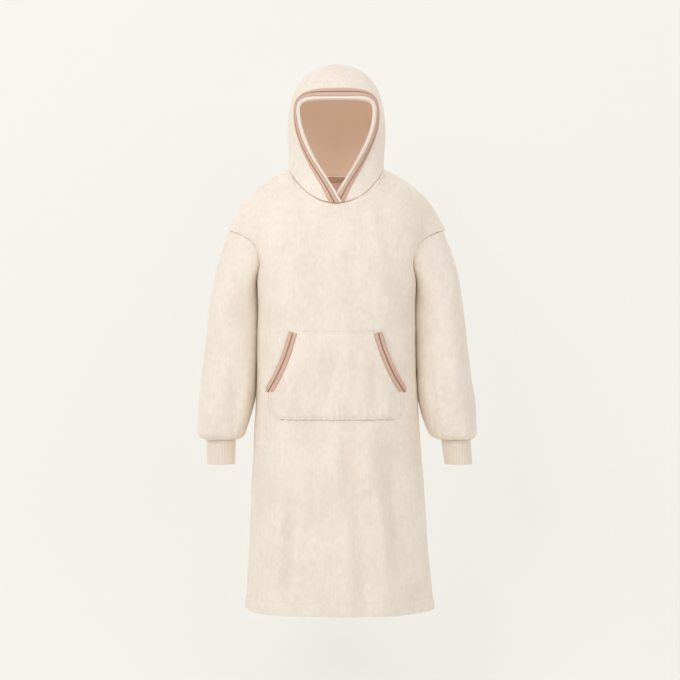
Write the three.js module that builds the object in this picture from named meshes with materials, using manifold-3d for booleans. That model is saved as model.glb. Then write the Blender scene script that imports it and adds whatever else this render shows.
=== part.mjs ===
// An oversized hooded pullover in plush fleece, knee length, filled out as if worn but with nobody in it.
// Millimetres. +Z is up, the front faces -Y, and the wearer's left is +X.
// The origin lies on the middle line, level with the top of the wearer's shoulders, which carry the garment.

import * as THREE from "three";
import { mergeVertices } from "three/addons/utils/BufferGeometryUtils.js";
import Module from "manifold-3d";

const wasm = await Module();
wasm.setup();

// Thicknesses, and the gap left wherever two pieces meet.
const CLOTH = 4; // plush fleece, pile and all
const TURNED_EDGE = 6.5; // the same fleece turned in at the hem and round the face
const CUFF_KNIT = 3;
const WOVEN_TAPE = 1.8;
const NECK_TAPE = 1.2;
const GAP = 0.3;
const SAME = 1e-4; // two points or places closer than this are one

// Body. Rows are level sections, from the hem up to the armholes.
const HEM_Z = -1022;
const UNDERARM_Z = -265;
const HEM_DEPTH = 30; // how far up the hem is turned
const HEM_ROLL = 2; // how far the turned hem swells between its edge and its stitches
const HEM_STITCH = { depth: 1.5, width: 4 };
const HEM_THINS = { from: -3, to: 6 }; // heights about the stitches where doubled cloth becomes single
const BODY_SQUARENESS = 2.4; // 2 is an ellipse, more is boxier
const BODY = [
  { z: -1040, halfWidth: 227, front: 166, back: 150, centre: 8 },
  { z: -960, halfWidth: 220, front: 163, back: 146, centre: 6 },
  { z: -840, halfWidth: 212, front: 158, back: 141, centre: 4 },
  { z: -720, halfWidth: 206, front: 154, back: 137, centre: 3 },
  { z: -580, halfWidth: 197, front: 150, back: 133, centre: 1 },
  { z: -440, halfWidth: 191.5, front: 148, back: 130, centre: 0 },
  { z: -265, halfWidth: 190, front: 146, back: 127, centre: 0 },
];

// Neck seam, seen from above a rounded oval that dips at the front.
const NECK = {
  halfWidth: 116, front: 118, back: 75, squareness: 2.2,
  frontZ: -66, sideZ: 25, backZ: 16, dip: 2,
  frontUp: 0.15, sideUp: 0.8, backUp: 0.6,
};

// Top of the shoulder, from the neck seam out to the dropped armhole.
const SHOULDER = [
  { x: 116, z: 25 },
  { x: 155, z: 5 },
  { x: 193, z: -24 },
  { x: 223, z: -53 },
  { x: 243, z: -83 },
  { x: 262, z: -122 },
];

// Share of each half panel's top edge that is neck seam, the rest being shoulder.
const HALF_COLUMNS = 14;
const NECK_COLUMNS = 6;
const NECK_SHARE = NECK_COLUMNS / HALF_COLUMNS;
const NECK_STEP = 90 / NECK_COLUMNS; // degrees
// How fast the armhole leaves the underarm and arrives at the shoulder: outward, away from the side, and up.
const ARMHOLE = { leaves: { out: 0, away: 300, up: 150 }, arrives: { out: 280, away: -300, up: 60 } };
const ARMHOLE_REACH = { from: 0.1, bend: 1.5 }; // share of the half panel that the armhole leaves alone
const ELLIPSE = 1.66; // end speed that makes a cubic follow a quarter of an ellipse
const MIDDLE_RISES = 200; // the same at centre front and centre back, where the cloth is still rising
// How far the last level row sinks towards the middle, so that cells at the underarm stay square.
const JOIN_DIP = 70;

// Soft folds of the body. s is the place round the body: 0 centre front, 1 and -1 side seams, 2 centre back.
// height is outward, so a trough is negative.
const BODY_FOLDS = [
  { sTop: -0.47, sBottom: -0.62, top: -470, bottom: -1040, width: 26, height: 6 },
  { sTop: -0.62, sBottom: -0.82, top: -500, bottom: -1040, width: 22, height: -5 },
  { sTop: -0.2, sBottom: -0.24, top: -440, bottom: -1040, width: 34, height: -8 },
  { sTop: 0.0, sBottom: 0.02, top: -560, bottom: -1000, width: 24, height: 4 },
  { sTop: 0.2, sBottom: 0.36, top: -520, bottom: -1040, width: 30, height: 7 },
  { sTop: 0.44, sBottom: 0.62, top: -540, bottom: -1040, width: 28, height: -9 },
  { sTop: 0.72, sBottom: 0.86, top: -560, bottom: -1040, width: 24, height: 4 },
  { sTop: 1.25, sBottom: 1.2, top: -420, bottom: -1040, width: 32, height: -8 },
  { sTop: 1.55, sBottom: 1.52, top: -380, bottom: -1040, width: 30, height: 6 },
  { sTop: 1.85, sBottom: 1.8, top: -300, bottom: -1040, width: 34, height: -8 },
  { sTop: 2.12, sBottom: 2.1, top: -450, bottom: -1040, width: 30, height: 6 },
  { sTop: 2.38, sBottom: 2.42, top: -330, bottom: -1040, width: 32, height: -9 },
  { sTop: 2.7, sBottom: 2.74, top: -480, bottom: -1040, width: 28, height: 6 },
];
const FOLD_FADE = 170; // length over which a fold grows from nothing
const FOLD_ENDS = { from: -10, to: 57 }; // and over which it dies away, measured down past its bottom

// Troughs that run up from the underarm towards the shoulder, at the front and the back alike.
// grows to grown is the share of its length over which one starts, and from fades on it dies away.
const ARMPIT_FOLD = {
  x: 190, z: -212, topX: 227, topZ: -74, width: 15, depth: 9, grows: -0.2, grown: 0.1, fades: 0.45,
};

// Sleeve, for the wearer's left. Rows are level sections, inner and outer being distances from the middle.
const SLEEVE_SQUARENESS = 2.2;
const SLEEVE_TURN_Z = -600; // where the fullness starts to turn under to the cuff
const SLEEVE = [
  { z: -600, inner: 220, outer: 331, halfDepth: 62, y: -18 },
  { z: -560, inner: 207, outer: 331, halfDepth: 71, y: -15 },
  { z: -516, inner: 200, outer: 328, halfDepth: 75, y: -12 },
  { z: -430, inner: 196, outer: 318, halfDepth: 77, y: -6 },
  { z: -343, inner: 194.5, outer: 309, halfDepth: 78, y: -2 },
  { z: -265, inner: 191.5, outer: 299, halfDepth: 79, y: 0 },
  { z: -192, inner: 190, outer: 285, halfDepth: 79, y: 0 },
  { z: -122, inner: 190, outer: 262, halfDepth: 78, y: 0 },
];
const SLEEVE_SETTLES = 0.45; // share of the length over which a sleeve leaves the armhole's shape
const SLEEVE_CLEARANCE = 0.4; // between the sleeve's inner side and the body at the underarm
// Folds and gathers die away between these places below the fullest part, 2 being the cuff.
const SLEEVE_CALMS = { folds: 1.3, gathers: 1.5, cuff: 2 };
const GATHERS = { count: 6, height: 3, reach: 90 };

// Folds of each sleeve. q is the place round it: 0 outside, 0.25 front, 0.5 inside, 0.75 back.
const SLEEVE_FOLDS = {
  left: [
    { qTop: 0.15, qBottom: 0.17, top: -150, bottom: -270, width: 13, height: -6 },
    { qTop: 0.2, qBottom: 0.16, top: -290, bottom: -600, width: 24, height: 4 },
    { qTop: 0.68, qBottom: 0.72, top: -260, bottom: -600, width: 22, height: -7 },
    { qTop: 0.9, qBottom: 0.86, top: -400, bottom: -600, width: 20, height: -5 },
  ],
  right: [
    { qTop: 0.25, qBottom: 0.3, top: -430, bottom: -600, width: 15, height: -9 },
    { qTop: 0.33, qBottom: 0.38, top: -360, bottom: -600, width: 16, height: 4 },
    { qTop: 0.7, qBottom: 0.66, top: -240, bottom: -600, width: 22, height: -7 },
    { qTop: 0.88, qBottom: 0.92, top: -420, bottom: -600, width: 20, height: -5 },
  ],
};

// Cuffs. x is the centre of the ring, at its top and at its open end.
const CUFF = { topZ: -621, endZ: -679, halfWidth: 35, halfDepth: 38, endShare: 0.95, y: -19, endY: -23 };
const CUFF_X = { left: { top: 285, end: 291 }, right: { top: 276, end: 275 } };

// Hood. Each row is an arch from the neck seam over the head to the other side; u counts them from the face.
// wide is the arch's widest point and top its highest.
const HOOD = [
  { u: 0, wideX: 92, wideY: -97, wideZ: 152, topY: -106, topZ: 181, squareness: 4 },
  { u: 0.2, wideX: 101, wideY: -69, wideZ: 143, topY: -92, topZ: 207, squareness: 3 },
  { u: 0.29, wideX: 109, wideY: -47, wideZ: 142, topY: -58, topZ: 250, squareness: 2.4 },
  { u: 0.4, wideX: 115, wideY: -22, wideZ: 137, topY: -2, topZ: 283, squareness: 2.2 },
  { u: 0.52, wideX: 118, wideY: 3, wideZ: 125, topY: 66, topZ: 266, squareness: 2.15 },
  { u: 0.66, wideX: 117, wideY: 26, wideZ: 100, topY: 120, topZ: 203, squareness: 2.1 },
  { u: 0.81, wideX: 115, wideY: 32, wideZ: 66, topY: 132, topZ: 112, squareness: 2.1 },
  { u: 0.92, wideX: 114, wideY: 19, wideZ: 41, topY: 110, topZ: 52, squareness: 2.15 },
  { u: 1, wideX: 116, wideY: 0, wideZ: 25, topY: 75, topZ: 16, squareness: 2.2 },
];
// The turned edge and its tape end at this u. A strip of fleece shows between the tape and the opening.
const FACE_EDGE = { u: 0.2, tapeFrom: 0.045, thins: 0.08 };
// Where an arch stands on the neck seam, in degrees from centre front. At the face it is past the middle, so
// that the two sides overlap.
const HOOD_FOOT = { atFace: -6, atFaceEdge: 7.5, atNape: 90 };
// Share of the way down the arch, for columns spaced evenly; they crowd at the opening's upper corners.
const FACE_COLUMNS = [
  { column: 0, down: 0 },
  { column: 0.2, down: 0.155 },
  { column: 0.45, down: 0.29 },
  { column: 0.7, down: 0.57 },
  { column: 1, down: 1 },
];
// Where the two front edges cross, the wearer's right one lies on top of the left one and of its tape.
const OVERLAP = { shift: 5.3, fullX: 18, endX: 66, fullZ: -28, endZ: 30 };

// Pocket, drawn flat on the front. The hands go in at the two slanting edges.
const POCKET = {
  top: -364, bottom: -569, topHalfWidth: 109, halfWidth: 161,
  slantEnds: -494, slantBend: 9, corner: 34, puff: 2.6,
};
// Where the bag lies flat at its stitched sides: out from these distances, and down from these heights.
const POCKET_SIDES = { from: 120, to: 160, above: -467, below: -517 };
const POCKET_CLOTH = { top: -300, bottom: -640, columnsOff: 2 }; // the stretch of front that it is cut from
const POCKET_TAPE = { width: 20, edge: 3, overshoot: 2 };
const POCKET_FOLD_GROWS = 50;
const POCKET_FOLDS = [
  { x: -78, topZ: -400, width: 15, height: -1.5 },
  { x: -16, topZ: -390, width: 20, height: -1.75 },
  { x: 92, topZ: -430, width: 18, height: -1.5 },
];

const { lerp, degToRad } = THREE.MathUtils;
const V = (x, y, z) => new THREE.Vector3(x, y, z);

// 0 up to from, 1 past to, and a soft step between them.
const soft = (x, from, to) => {
  const t = Math.min(1, Math.max(0, (x - from) / (to - from)));
  return t * t * (3 - 2 * t);
};
const bell = (x) => Math.exp(-x * x);

// A cubic from p0 to p1 with end speeds m0 and m1.
function cubic(p0, m0, p1, m1, t) {
  const t2 = t * t;
  const t3 = t2 * t;
  return (2 * t3 - 3 * t2 + 1) * p0 + (t3 - 2 * t2 + t) * m0 + (3 * t2 - 2 * t3) * p1 + (t3 - t2) * m1;
}
const cubicPoint = (p0, m0, p1, m1, t) =>
  V(cubic(p0.x, m0.x, p1.x, m1.x, t), cubic(p0.y, m0.y, p1.y, m1.y, t), cubic(p0.z, m0.z, p1.z, m1.z, t));

// A column of a table at a value of its key, on a smooth curve through the rows.
function read(table, key, column, at) {
  let i = 0;
  const rows = table[0][key] < table.at(-1)[key] ? table : [...table].reverse();
  while (i < rows.length - 2 && at > rows[i + 1][key]) i++;
  const [before, a, b, after] = [rows[i - 1] ?? rows[i], rows[i], rows[i + 1], rows[i + 2] ?? rows[i + 1]];
  const span = b[key] - a[key];
  const slope = (p, q) => ((q[column] - p[column]) / (q[key] - p[key])) * span;
  const t = Math.min(1, Math.max(0, (at - a[key]) / span));
  return cubic(a[column], slope(before, b), b[column], slope(a, after), t);
}

// Sine and cosine of a rounded rectangle rather than of a circle.
const squared = (value, squareness) => Math.sign(value) * Math.abs(value) ** (2 / squareness);

// The point a share of the way along a curve, by length. curve takes 0 to 1.
function alongLength(curve, share) {
  const STEPS = 160;
  const points = Array.from({ length: STEPS + 1 }, (_, k) => curve(k / STEPS));
  const lengths = points.slice(1).map((p, k) => p.distanceTo(points[k]));
  let left = share * lengths.reduce((sum, l) => sum + l, 0);
  let k = 0;
  while (k < STEPS - 1 && left > lengths[k]) left -= lengths[k++];
  return points[k].clone().lerp(points[k + 1], lengths[k] ? left / lengths[k] : 0);
}

// How far a table of folds moves the cloth, at place s round it and height z.
// round is the length that s of 1 stands for.
function foldHeight(folds, placeTop, placeBottom, s, z, round) {
  return folds.reduce((sum, fold) => {
    const down = (fold.top - z) / (fold.top - fold.bottom);
    if (down <= 0) return sum;
    const away = (s - lerp(fold[placeTop], fold[placeBottom], Math.min(1, down))) * round;
    const grown = soft(fold.top - z, 0, Math.min(FOLD_FADE, fold.top - fold.bottom));
    const fades = 1 - soft(fold.bottom - z, FOLD_ENDS.from, FOLD_ENDS.to);
    return sum + fold.height * bell(away / fold.width) * grown * fades;
  }, 0);
}

// The unit normal of a surface of (u, v), pointing out of the garment. turn is 1 or -1, as u and v run.
const STEP = 2e-3;
function normalOf(surface, u, v, turn) {
  const across = surface(u + STEP, v).sub(surface(u - STEP, v));
  const along = surface(u, v + STEP).sub(surface(u, v - STEP));
  return across.cross(along).normalize().multiplyScalar(turn);
}

// The surface moved along its own normal by height(u, v, point).
const raised = (surface, turn, height) => (u, v) => {
  const point = surface(u, v);
  return point.addScaledVector(normalOf(surface, u, v, turn), height(u, v, point));
};

// Points and normals of a surface at the crossings of two lists of places.
function sample(surface, us, vs, turn) {
  const at = (u, v) => ({ u, v, point: surface(u, v), normal: normalOf(surface, u, v, turn) });
  return vs.map((v) => us.map((u) => at(u, v)));
}

// How far each point of an edge draws back from a seam: half the gap, square to the edge, into the cloth.
function drawBack(edge, inside, gap, loops) {
  return edge.map((sample, k) => {
    const before = edge[k - 1] ?? (loops ? edge.at(-1) : sample);
    const after = edge[k + 1] ?? (loops ? edge[0] : sample);
    const along = after.point.clone().sub(before.point).normalize();
    return inside[k].point.clone().sub(sample.point).projectOnPlane(along).setLength(gap / 2);
  });
}

// A wall of cloth on a grid of samples. lift and thickness are functions of a sample: how far the outer face
// stands off the surface, and how thick the wall is. seams names the edges that draw back from neighbours.
function wall(grid, { turn, thickness, lift = () => 0, closed = false, seams = {} }) {
  const rows = grid.length;
  const columns = grid[0].length;
  const moves = grid.map((row) => row.map(() => V(0, 0, 0)));
  const column = (cells, j) => cells.map((row) => row.at(j));
  const edges = {
    bottom: [grid[0], grid[1], moves[0]],
    top: [grid.at(-1), grid.at(-2), moves.at(-1)],
    start: [column(grid, 0), column(grid, 1), column(moves, 0)],
    end: [column(grid, -1), column(grid, -2), column(moves, -1)],
  };
  for (const [name, gap] of Object.entries(seams)) {
    const [edge, inside, moved] = edges[name];
    drawBack(edge, inside, gap, closed).forEach((move, k) => moved[k].add(move));
  }
  const stood = (s, offset) => s.point.clone().addScaledVector(s.normal, offset(s));
  const faceAt = (offset) => grid.map((row, i) => row.map((s, j) => stood(s, offset).add(moves[i][j])));
  const outer = faceAt(lift);
  const inner = faceAt((s) => lift(s) - thickness(s));
  const points = [...outer.flat(), ...inner.flat()];
  const indices = [];
  const at = (i, j, layer) => layer * rows * columns + i * columns + (j % columns);
  const triangle = (a, b, c) => indices.push(...(turn > 0 ? [a, b, c] : [a, c, b]));
  const quad = (a, b, c, d, split) => {
    triangle(a, b, split ? d : c);
    triangle(split ? b : a, c, d);
  };
  const last = closed ? columns : columns - 1;
  for (let i = 0; i < rows - 1; i++) {
    for (let j = 0; j < last; j++) {
      const next = (j + 1) % columns;
      const rising = grid[i][j].point.distanceTo(grid[i + 1][next].point);
      const falling = grid[i][next].point.distanceTo(grid[i + 1][j].point);
      const split = rising > falling;
      quad(at(i, j, 0), at(i, next, 0), at(i + 1, next, 0), at(i + 1, j, 0), split);
      quad(at(i + 1, j, 1), at(i + 1, next, 1), at(i, next, 1), at(i, j, 1), !split);
    }
  }
  // Both walls at a seam divide their edges alike, from the higher outer point.
  const rim = (a, b, c, d) => quad(a, b, c, d, points[b].z > points[a].z);
  for (let j = 0; j < last; j++) {
    const next = (j + 1) % columns;
    rim(at(0, next, 0), at(0, j, 0), at(0, j, 1), at(0, next, 1));
    rim(at(rows - 1, j, 0), at(rows - 1, next, 0), at(rows - 1, next, 1), at(rows - 1, j, 1));
  }
  for (let i = 0; i < rows - 1 && !closed; i++) {
    const end = columns - 1;
    rim(at(i, 0, 0), at(i + 1, 0, 0), at(i + 1, 0, 1), at(i, 0, 1));
    rim(at(i + 1, end, 0), at(i, end, 0), at(i, end, 1), at(i + 1, end, 1));
  }
  const geometry = new THREE.BufferGeometry().setFromPoints(points);
  geometry.setIndex(indices);
  return geometry;
}

const spread = (from, to, count) => Array.from({ length: count + 1 }, (_, k) => lerp(from, to, k / count));

// Neck seam at an angle from centre front, positive towards the wearer's left. Between the body's columns it
// runs straight, so that the hood, which has more rows, meets it all the way.
function neckSeam(degrees) {
  const before = NECK_STEP * Math.floor(degrees / NECK_STEP);
  return neckCurve(before).lerp(neckCurve(before + NECK_STEP), (degrees - before) / NECK_STEP);
}
function neckCurve(degrees) {
  const angle = degToRad(degrees);
  const toFront = squared(Math.cos(angle), NECK.squareness);
  return V(
    NECK.halfWidth * squared(Math.sin(angle), NECK.squareness),
    toFront > 0 ? -NECK.front * toFront : -NECK.back * toFront,
    toFront > 0 ? lerp(NECK.sideZ, NECK.frontZ, toFront ** NECK.dip) : lerp(NECK.sideZ, NECK.backZ, -toFront),
  );
}

// Which way the edges at the neck seam face: outward, and up by a share that differs round the neck.
function neckNormal({ x, y }) {
  const depth = y < 0 ? NECK.front : NECK.back;
  const middle = Math.abs(y) / depth;
  const up = lerp(NECK.sideUp, y < 0 ? NECK.frontUp : NECK.backUp, middle ** 2);
  return V(x / NECK.halfWidth ** 2, y / depth ** 2, 0).normalize().setZ(up).normalize();
}

const shoulderLine = new THREE.CatmullRomCurve3(SHOULDER.map(({ x, z }) => V(x, 0, z)));
const shoulderEnd = shoulderLine.getPoint(1);

// One level section of the body. s is the place round it, as in the table of folds, and runs on past 2.
function bodySection(s, z) {
  const place = s > 2 ? s - 4 : s;
  const front = Math.abs(place) <= 1;
  const width = read(BODY, "z", "halfWidth", z);
  const depth = read(BODY, "z", front ? "front" : "back", z);
  const quarter = (k) => {
    const angle = (k * Math.PI) / 2;
    const [sideways, forwards] = [Math.sin(angle), Math.cos(angle)];
    return V(width * squared(sideways, BODY_SQUARENESS), depth * squared(forwards, BODY_SQUARENESS), z);
  };
  const point = alongLength(quarter, front ? Math.abs(place) : 2 - Math.abs(place));
  return V(read(BODY, "z", "centre", z) + Math.sign(place) * point.x, front ? -point.y : point.y, z);
}

// A line of cloth from the last level row up to the neck seam or the shoulder.
// facing is -1 for the front, 1 for the back.
function climbLine(facing, across, toArmhole, climb) {
  const from = bodySection(facing < 0 ? across * toArmhole : 2 - across * toArmhole, joinHeight(toArmhole));
  const to =
    toArmhole < NECK_SHARE
      ? neckSeam((facing < 0 ? 0 : 180) - facing * 90 * (toArmhole / NECK_SHARE))
      : shoulderLine.getPointAt(Math.min(1, (toArmhole - NECK_SHARE) / (1 - NECK_SHARE)));
  to.x *= across;
  const roundNeck = soft(toArmhole, 0, NECK_SHARE);
  const leaves = V(0, 0, (to.z - from.z) * lerp(1, ELLIPSE, roundNeck));
  const arrives = V(0, ELLIPSE * (to.y - from.y), lerp(MIDDLE_RISES, 0, roundNeck));
  return cubicPoint(from, leaves, to, arrives, climb);
}

// The body above its last level row, where front and back part company and the armhole pulls the cloth about.
function yoke(facing, s, climb) {
  const front = facing < 0;
  const fromMiddle = front ? s : 2 - s;
  const across = Math.sign(fromMiddle) || 1;
  const toArmhole = Math.min(1, Math.abs(fromMiddle));
  const speed = ({ out, away, up }) => V(across * out, facing * away, up);
  const seam = cubicPoint(
    bodySection(front ? across : 2 - across, UNDERARM_Z),
    speed(ARMHOLE.leaves),
    shoulderEnd.clone().setX(across * shoulderEnd.x),
    speed(ARMHOLE.arrives),
    climb,
  );
  const line = climbLine(facing, across, toArmhole, climb);
  const pull = (Math.max(0, toArmhole - ARMHOLE_REACH.from) / (1 - ARMHOLE_REACH.from)) ** ARMHOLE_REACH.bend;
  return line.addScaledVector(seam.sub(climbLine(facing, across, 1, climb)), pull);
}

// Height of the last level row: lowest at centre front and back, up at the underarm by the side seams.
const joinHeight = (toArmhole) => UNDERARM_Z - JOIN_DIP * (1 - toArmhole ** 4);

// The body without its folds: v is 0 at the hem, 1 at the last level row, and 2 at the top edge.
function plainBody(facing, s, v) {
  if (v > 1) return yoke(facing, s, v - 1);
  const place = Math.abs(s > 2 ? s - 4 : s);
  return bodySection(s, lerp(HEM_Z, joinHeight(Math.min(1, place <= 1 ? place : 2 - place)), v));
}

const BODY_ROUND = 300; // length of a quarter of the body's girth, for the folds' widths
function bodyFolds(s, v, point) {
  const hemRoll = HEM_ROLL * bell((point.z - HEM_Z - HEM_DEPTH / 2) / (HEM_DEPTH / 2));
  const hemStitch = -HEM_STITCH.depth * bell((point.z - HEM_Z - HEM_DEPTH) / HEM_STITCH.width);
  const axis = V(ARMPIT_FOLD.topX - ARMPIT_FOLD.x, 0, ARMPIT_FOLD.topZ - ARMPIT_FOLD.z);
  const from = V(Math.abs(point.x) - ARMPIT_FOLD.x, 0, point.z - ARMPIT_FOLD.z);
  const share = from.dot(axis) / axis.lengthSq();
  const away = Math.abs(from.cross(axis).y) / axis.length();
  const there = soft(share, 1, ARMPIT_FOLD.fades) * soft(share, ARMPIT_FOLD.grows, ARMPIT_FOLD.grown);
  const armpit = v > 1 ? -ARMPIT_FOLD.depth * bell(away / ARMPIT_FOLD.width) * there : 0;
  return foldHeight(BODY_FOLDS, "sTop", "sBottom", s, point.z, BODY_ROUND) + hemRoll + hemStitch + armpit;
}
const body = (facing) => raised((s, v) => plainBody(facing, s, v), 1, bodyFolds);

// The armhole, from the underarm at 0 to the shoulder at 1.
const armhole = (side, facing, climb) => body(facing)(facing < 0 ? side : 2 - side, 1 + climb);

function sleeveSection(side, q, z) {
  const inner = read(SLEEVE, "z", "inner", z);
  const outer = read(SLEEVE, "z", "outer", z);
  const halfDepth = read(SLEEVE, "z", "halfDepth", z);
  const angle = q * 2 * Math.PI;
  return V(
    side * ((inner + outer) / 2 + ((outer - inner) / 2) * squared(Math.cos(angle), SLEEVE_SQUARENESS)),
    read(SLEEVE, "z", "y", z) - halfDepth * squared(Math.sin(angle), SLEEVE_SQUARENESS),
    z,
  );
}

// A cuff's ring, from its top at 0 to its open end at 1.
function cuffSection(side, q, down) {
  const angle = q * 2 * Math.PI;
  const x = side > 0 ? CUFF_X.left : CUFF_X.right;
  const size = lerp(1, CUFF.endShare, down);
  return V(
    side * (lerp(x.top, x.end, down) + CUFF.halfWidth * size * Math.cos(angle)),
    lerp(CUFF.y, CUFF.endY, down) - CUFF.halfDepth * size * Math.sin(angle),
    lerp(CUFF.topZ, CUFF.endZ, down),
  );
}

// A sleeve: v is 0 at the armhole, 1 where the fullness turns under, and 2 at the cuff.
function plainSleeve(side, q, v) {
  const place = q - Math.floor(q);
  const start = armhole(side, place <= 0.5 ? -1 : 1, Math.abs(1 - 2 * place));
  start.x += side * SLEEVE_CLEARANCE;
  if (v <= 1) {
    const held = Math.max(0, 1 - v / SLEEVE_SETTLES) ** 3;
    const off = start.clone().sub(sleeveSection(side, place, start.z));
    return sleeveSection(side, place, lerp(start.z, SLEEVE_TURN_Z, v)).addScaledVector(off, held);
  }
  const turn = ((v - 1) * Math.PI) / 2;
  const rim = cuffSection(side, place, 0);
  const point = sleeveSection(side, place, SLEEVE_TURN_Z).lerp(rim, 1 - Math.cos(turn));
  point.z = lerp(SLEEVE_TURN_Z, CUFF.topZ, Math.sin(turn));
  return point;
}

const SLEEVE_ROUND = 430; // length once round a sleeve, for the folds' widths
const sleeve = (side) =>
  raised((q, v) => plainSleeve(side, q, v), side, (q, v, point) => {
    const folds = SLEEVE_FOLDS[side > 0 ? "left" : "right"];
    const { cuff, folds: foldsEnd, gathers: gathersEnd } = SLEEVE_CALMS;
    const gathered = soft(point.z, SLEEVE_TURN_Z + GATHERS.reach, SLEEVE_TURN_Z) * soft(v, cuff, gathersEnd);
    const wave = GATHERS.height * Math.cos(GATHERS.count * 2 * Math.PI * q) * gathered;
    return foldHeight(folds, "qTop", "qBottom", q, point.z, SLEEVE_ROUND) * soft(v, cuff, foldsEnd) + wave;
  });

const hoodFoot = (u) =>
  u < FACE_EDGE.u
    ? lerp(HOOD_FOOT.atFace, HOOD_FOOT.atFaceEdge, u / FACE_EDGE.u)
    : lerp(HOOD_FOOT.atFaceEdge, HOOD_FOOT.atNape, Math.min(1, (u - FACE_EDGE.u) / (1 - FACE_EDGE.u)));

// The hood: each arch runs from its top at column 0 down to the neck seam at column 1. side is 1 for the
// wearer's left.
function plainHood(side, u, column) {
  const place = Math.abs(column);
  const across = side * Math.sign(column || 1);
  if (u >= 1) return neckSeam(across * lerp(180, HOOD_FOOT.atNape, Math.min(1, place)));
  const at = (name) => read(HOOD, "u", name, u);
  const wide = V(at("wideX"), at("wideY"), at("wideZ"));
  const top = V(0, at("topY"), at("topZ"));
  const foot = neckSeam(hoodFoot(u));
  const upwards = top.clone().sub(wide).setX(0).setLength(wide.distanceTo(foot));
  const arch = (t) => {
    if (t > 0.5) return cubicPoint(wide, upwards.clone().negate(), foot, foot.clone().sub(wide), 2 * t - 1);
    const angle = t * Math.PI;
    const rise = squared(Math.cos(angle), at("squareness"));
    const out = squared(Math.sin(angle), at("squareness"));
    return V(wide.x * out, lerp(wide.y, top.y, rise), lerp(wide.z, top.z, rise));
  };
  const point = alongLength(arch, lerp(read(FACE_COLUMNS, "column", "down", place), place, u));
  const crossing = soft(point.x, OVERLAP.endX, OVERLAP.fullX) * soft(point.z, OVERLAP.endZ, OVERLAP.fullZ);
  return V(across * point.x, point.y + side * OVERLAP.shift * crossing, point.z);
}

function material(colour, roughness) {
  return new THREE.MeshStandardMaterial({ color: colour, roughness, metalness: 0 });
}
const FLEECE = material(0xefe2d3, 0.95);
const KNIT = material(0xeedfcd, 0.85);
const BRAID = material(0xd8b096, 0.8);
const TWILL = material(0xb48a6c, 0.85);

const garment = new THREE.Group();
function add(name, geometry, look) {
  const mesh = new THREE.Mesh(geometry, look);
  mesh.name = name;
  garment.add(mesh);
}

// Front and back, on the same rows and columns so that their side and shoulder seams meet point to point.
const CLIMBS = [0.09, 0.18, 0.27, 0.36, 0.45, 0.54, 0.63, 0.72, 0.8, 0.87, 0.935, 1];
const HEM_ROWS = [0, 0.009, 0.034, 0.041, 0.052];
const LEVEL_ROWS = spread(HEM_ROWS.at(-1), 1, 17).slice(1);
const BODY_ROWS = [...HEM_ROWS, ...LEVEL_ROWS, ...CLIMBS.map((climb) => 1 + climb)];
const hemTop = HEM_Z + HEM_DEPTH;
const bodyThickness = ({ point }) =>
  lerp(TURNED_EDGE, CLOTH, soft(point.z, hemTop + HEM_THINS.from, hemTop + HEM_THINS.to));
const frontGrid = sample(body(-1), spread(-1, 1, 2 * HALF_COLUMNS), BODY_ROWS, 1);
const backGrid = sample(body(1), spread(1, 3, 2 * HALF_COLUMNS), BODY_ROWS, 1);
const bodyWall = { turn: 1, thickness: bodyThickness, seams: { start: GAP, end: GAP, top: GAP } };

// The top edges face as the neck seam does, and straight across the shoulder seam.
for (const grid of [frontGrid, backGrid]) {
  for (const sample of grid.at(-1)) {
    const toArmhole = Math.abs(sample.u > 1 ? sample.u - 2 : sample.u);
    if (toArmhole < NECK_SHARE) sample.normal.copy(neckNormal(sample.point));
    else sample.normal.setY(0).normalize();
  }
}

// Sleeves and cuffs. The sleeve's columns start on the ends of the body's rows.
const armholePlaces = [...CLIMBS.slice(0, -1).map((climb) => (1 - climb) / 2).reverse(), 0.5];
const sleevePlaces = [0, ...armholePlaces, ...CLIMBS.slice(0, -1).map((climb) => (1 + climb) / 2)];
// Where two walls meet at a seam, both edges face half way between them, unless the walls hang side by side.
const SIDE_BY_SIDE = { hanging: -0.2, meeting: 0.3 }; // cosine of the angle between the two walls
function joinNormals(ring, side) {
  for (const around of ring) {
    const climb = Math.abs(1 - 2 * around.u);
    const grid = around.u <= 0.5 ? frontGrid : backGrid;
    const edges = around.u === 0 ? [frontGrid, backGrid] : [grid];
    const row = BODY_ROWS.findIndex((v) => Math.abs(v - 1 - climb) < SAME);
    const columnOf = (edge) => ((side > 0) === (edge === frontGrid) ? 2 * HALF_COLUMNS : 0);
    const meeting = grid[row][columnOf(grid)].normal;
    const between = around.normal.clone().add(meeting).normalize();
    if (climb === 1) between.setY(0).normalize();
    const share = soft(around.normal.dot(meeting), SIDE_BY_SIDE.hanging, SIDE_BY_SIDE.meeting);
    around.normal.lerp(between, share).normalize();
    for (const edge of edges) edge[row][columnOf(edge)].normal.lerp(between, share).normalize();
  }
}

const SLEEVE_ROWS = [...spread(0, 1, 12), 1.3, 1.6, 1.85, 2];
const CUFF_ROWS = [0, 0.06, 0.94, 1];
const CUFF_COLUMNS = 24;
for (const [name, side] of [["left", 1], ["right", -1]]) {
  const sleeveGrid = sample(sleeve(side), sleevePlaces, SLEEVE_ROWS, side);
  joinNormals(sleeveGrid[0], side);
  const seams = { bottom: GAP, top: GAP };
  const cloth = wall(sleeveGrid, { turn: side, thickness: () => CLOTH, closed: true, seams });
  add(`sleeve_${name}`, cloth, FLEECE);
  const cuffPlaces = spread(0, 1, CUFF_COLUMNS).slice(0, -1);
  const cuffGrid = sample((q, down) => cuffSection(side, q, down), cuffPlaces, CUFF_ROWS, side);
  const knit = { turn: side, thickness: () => CUFF_KNIT, closed: true, seams: { bottom: 2 * GAP } };
  add(`cuff_${name}`, wall(cuffGrid, knit), KNIT);
}

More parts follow.
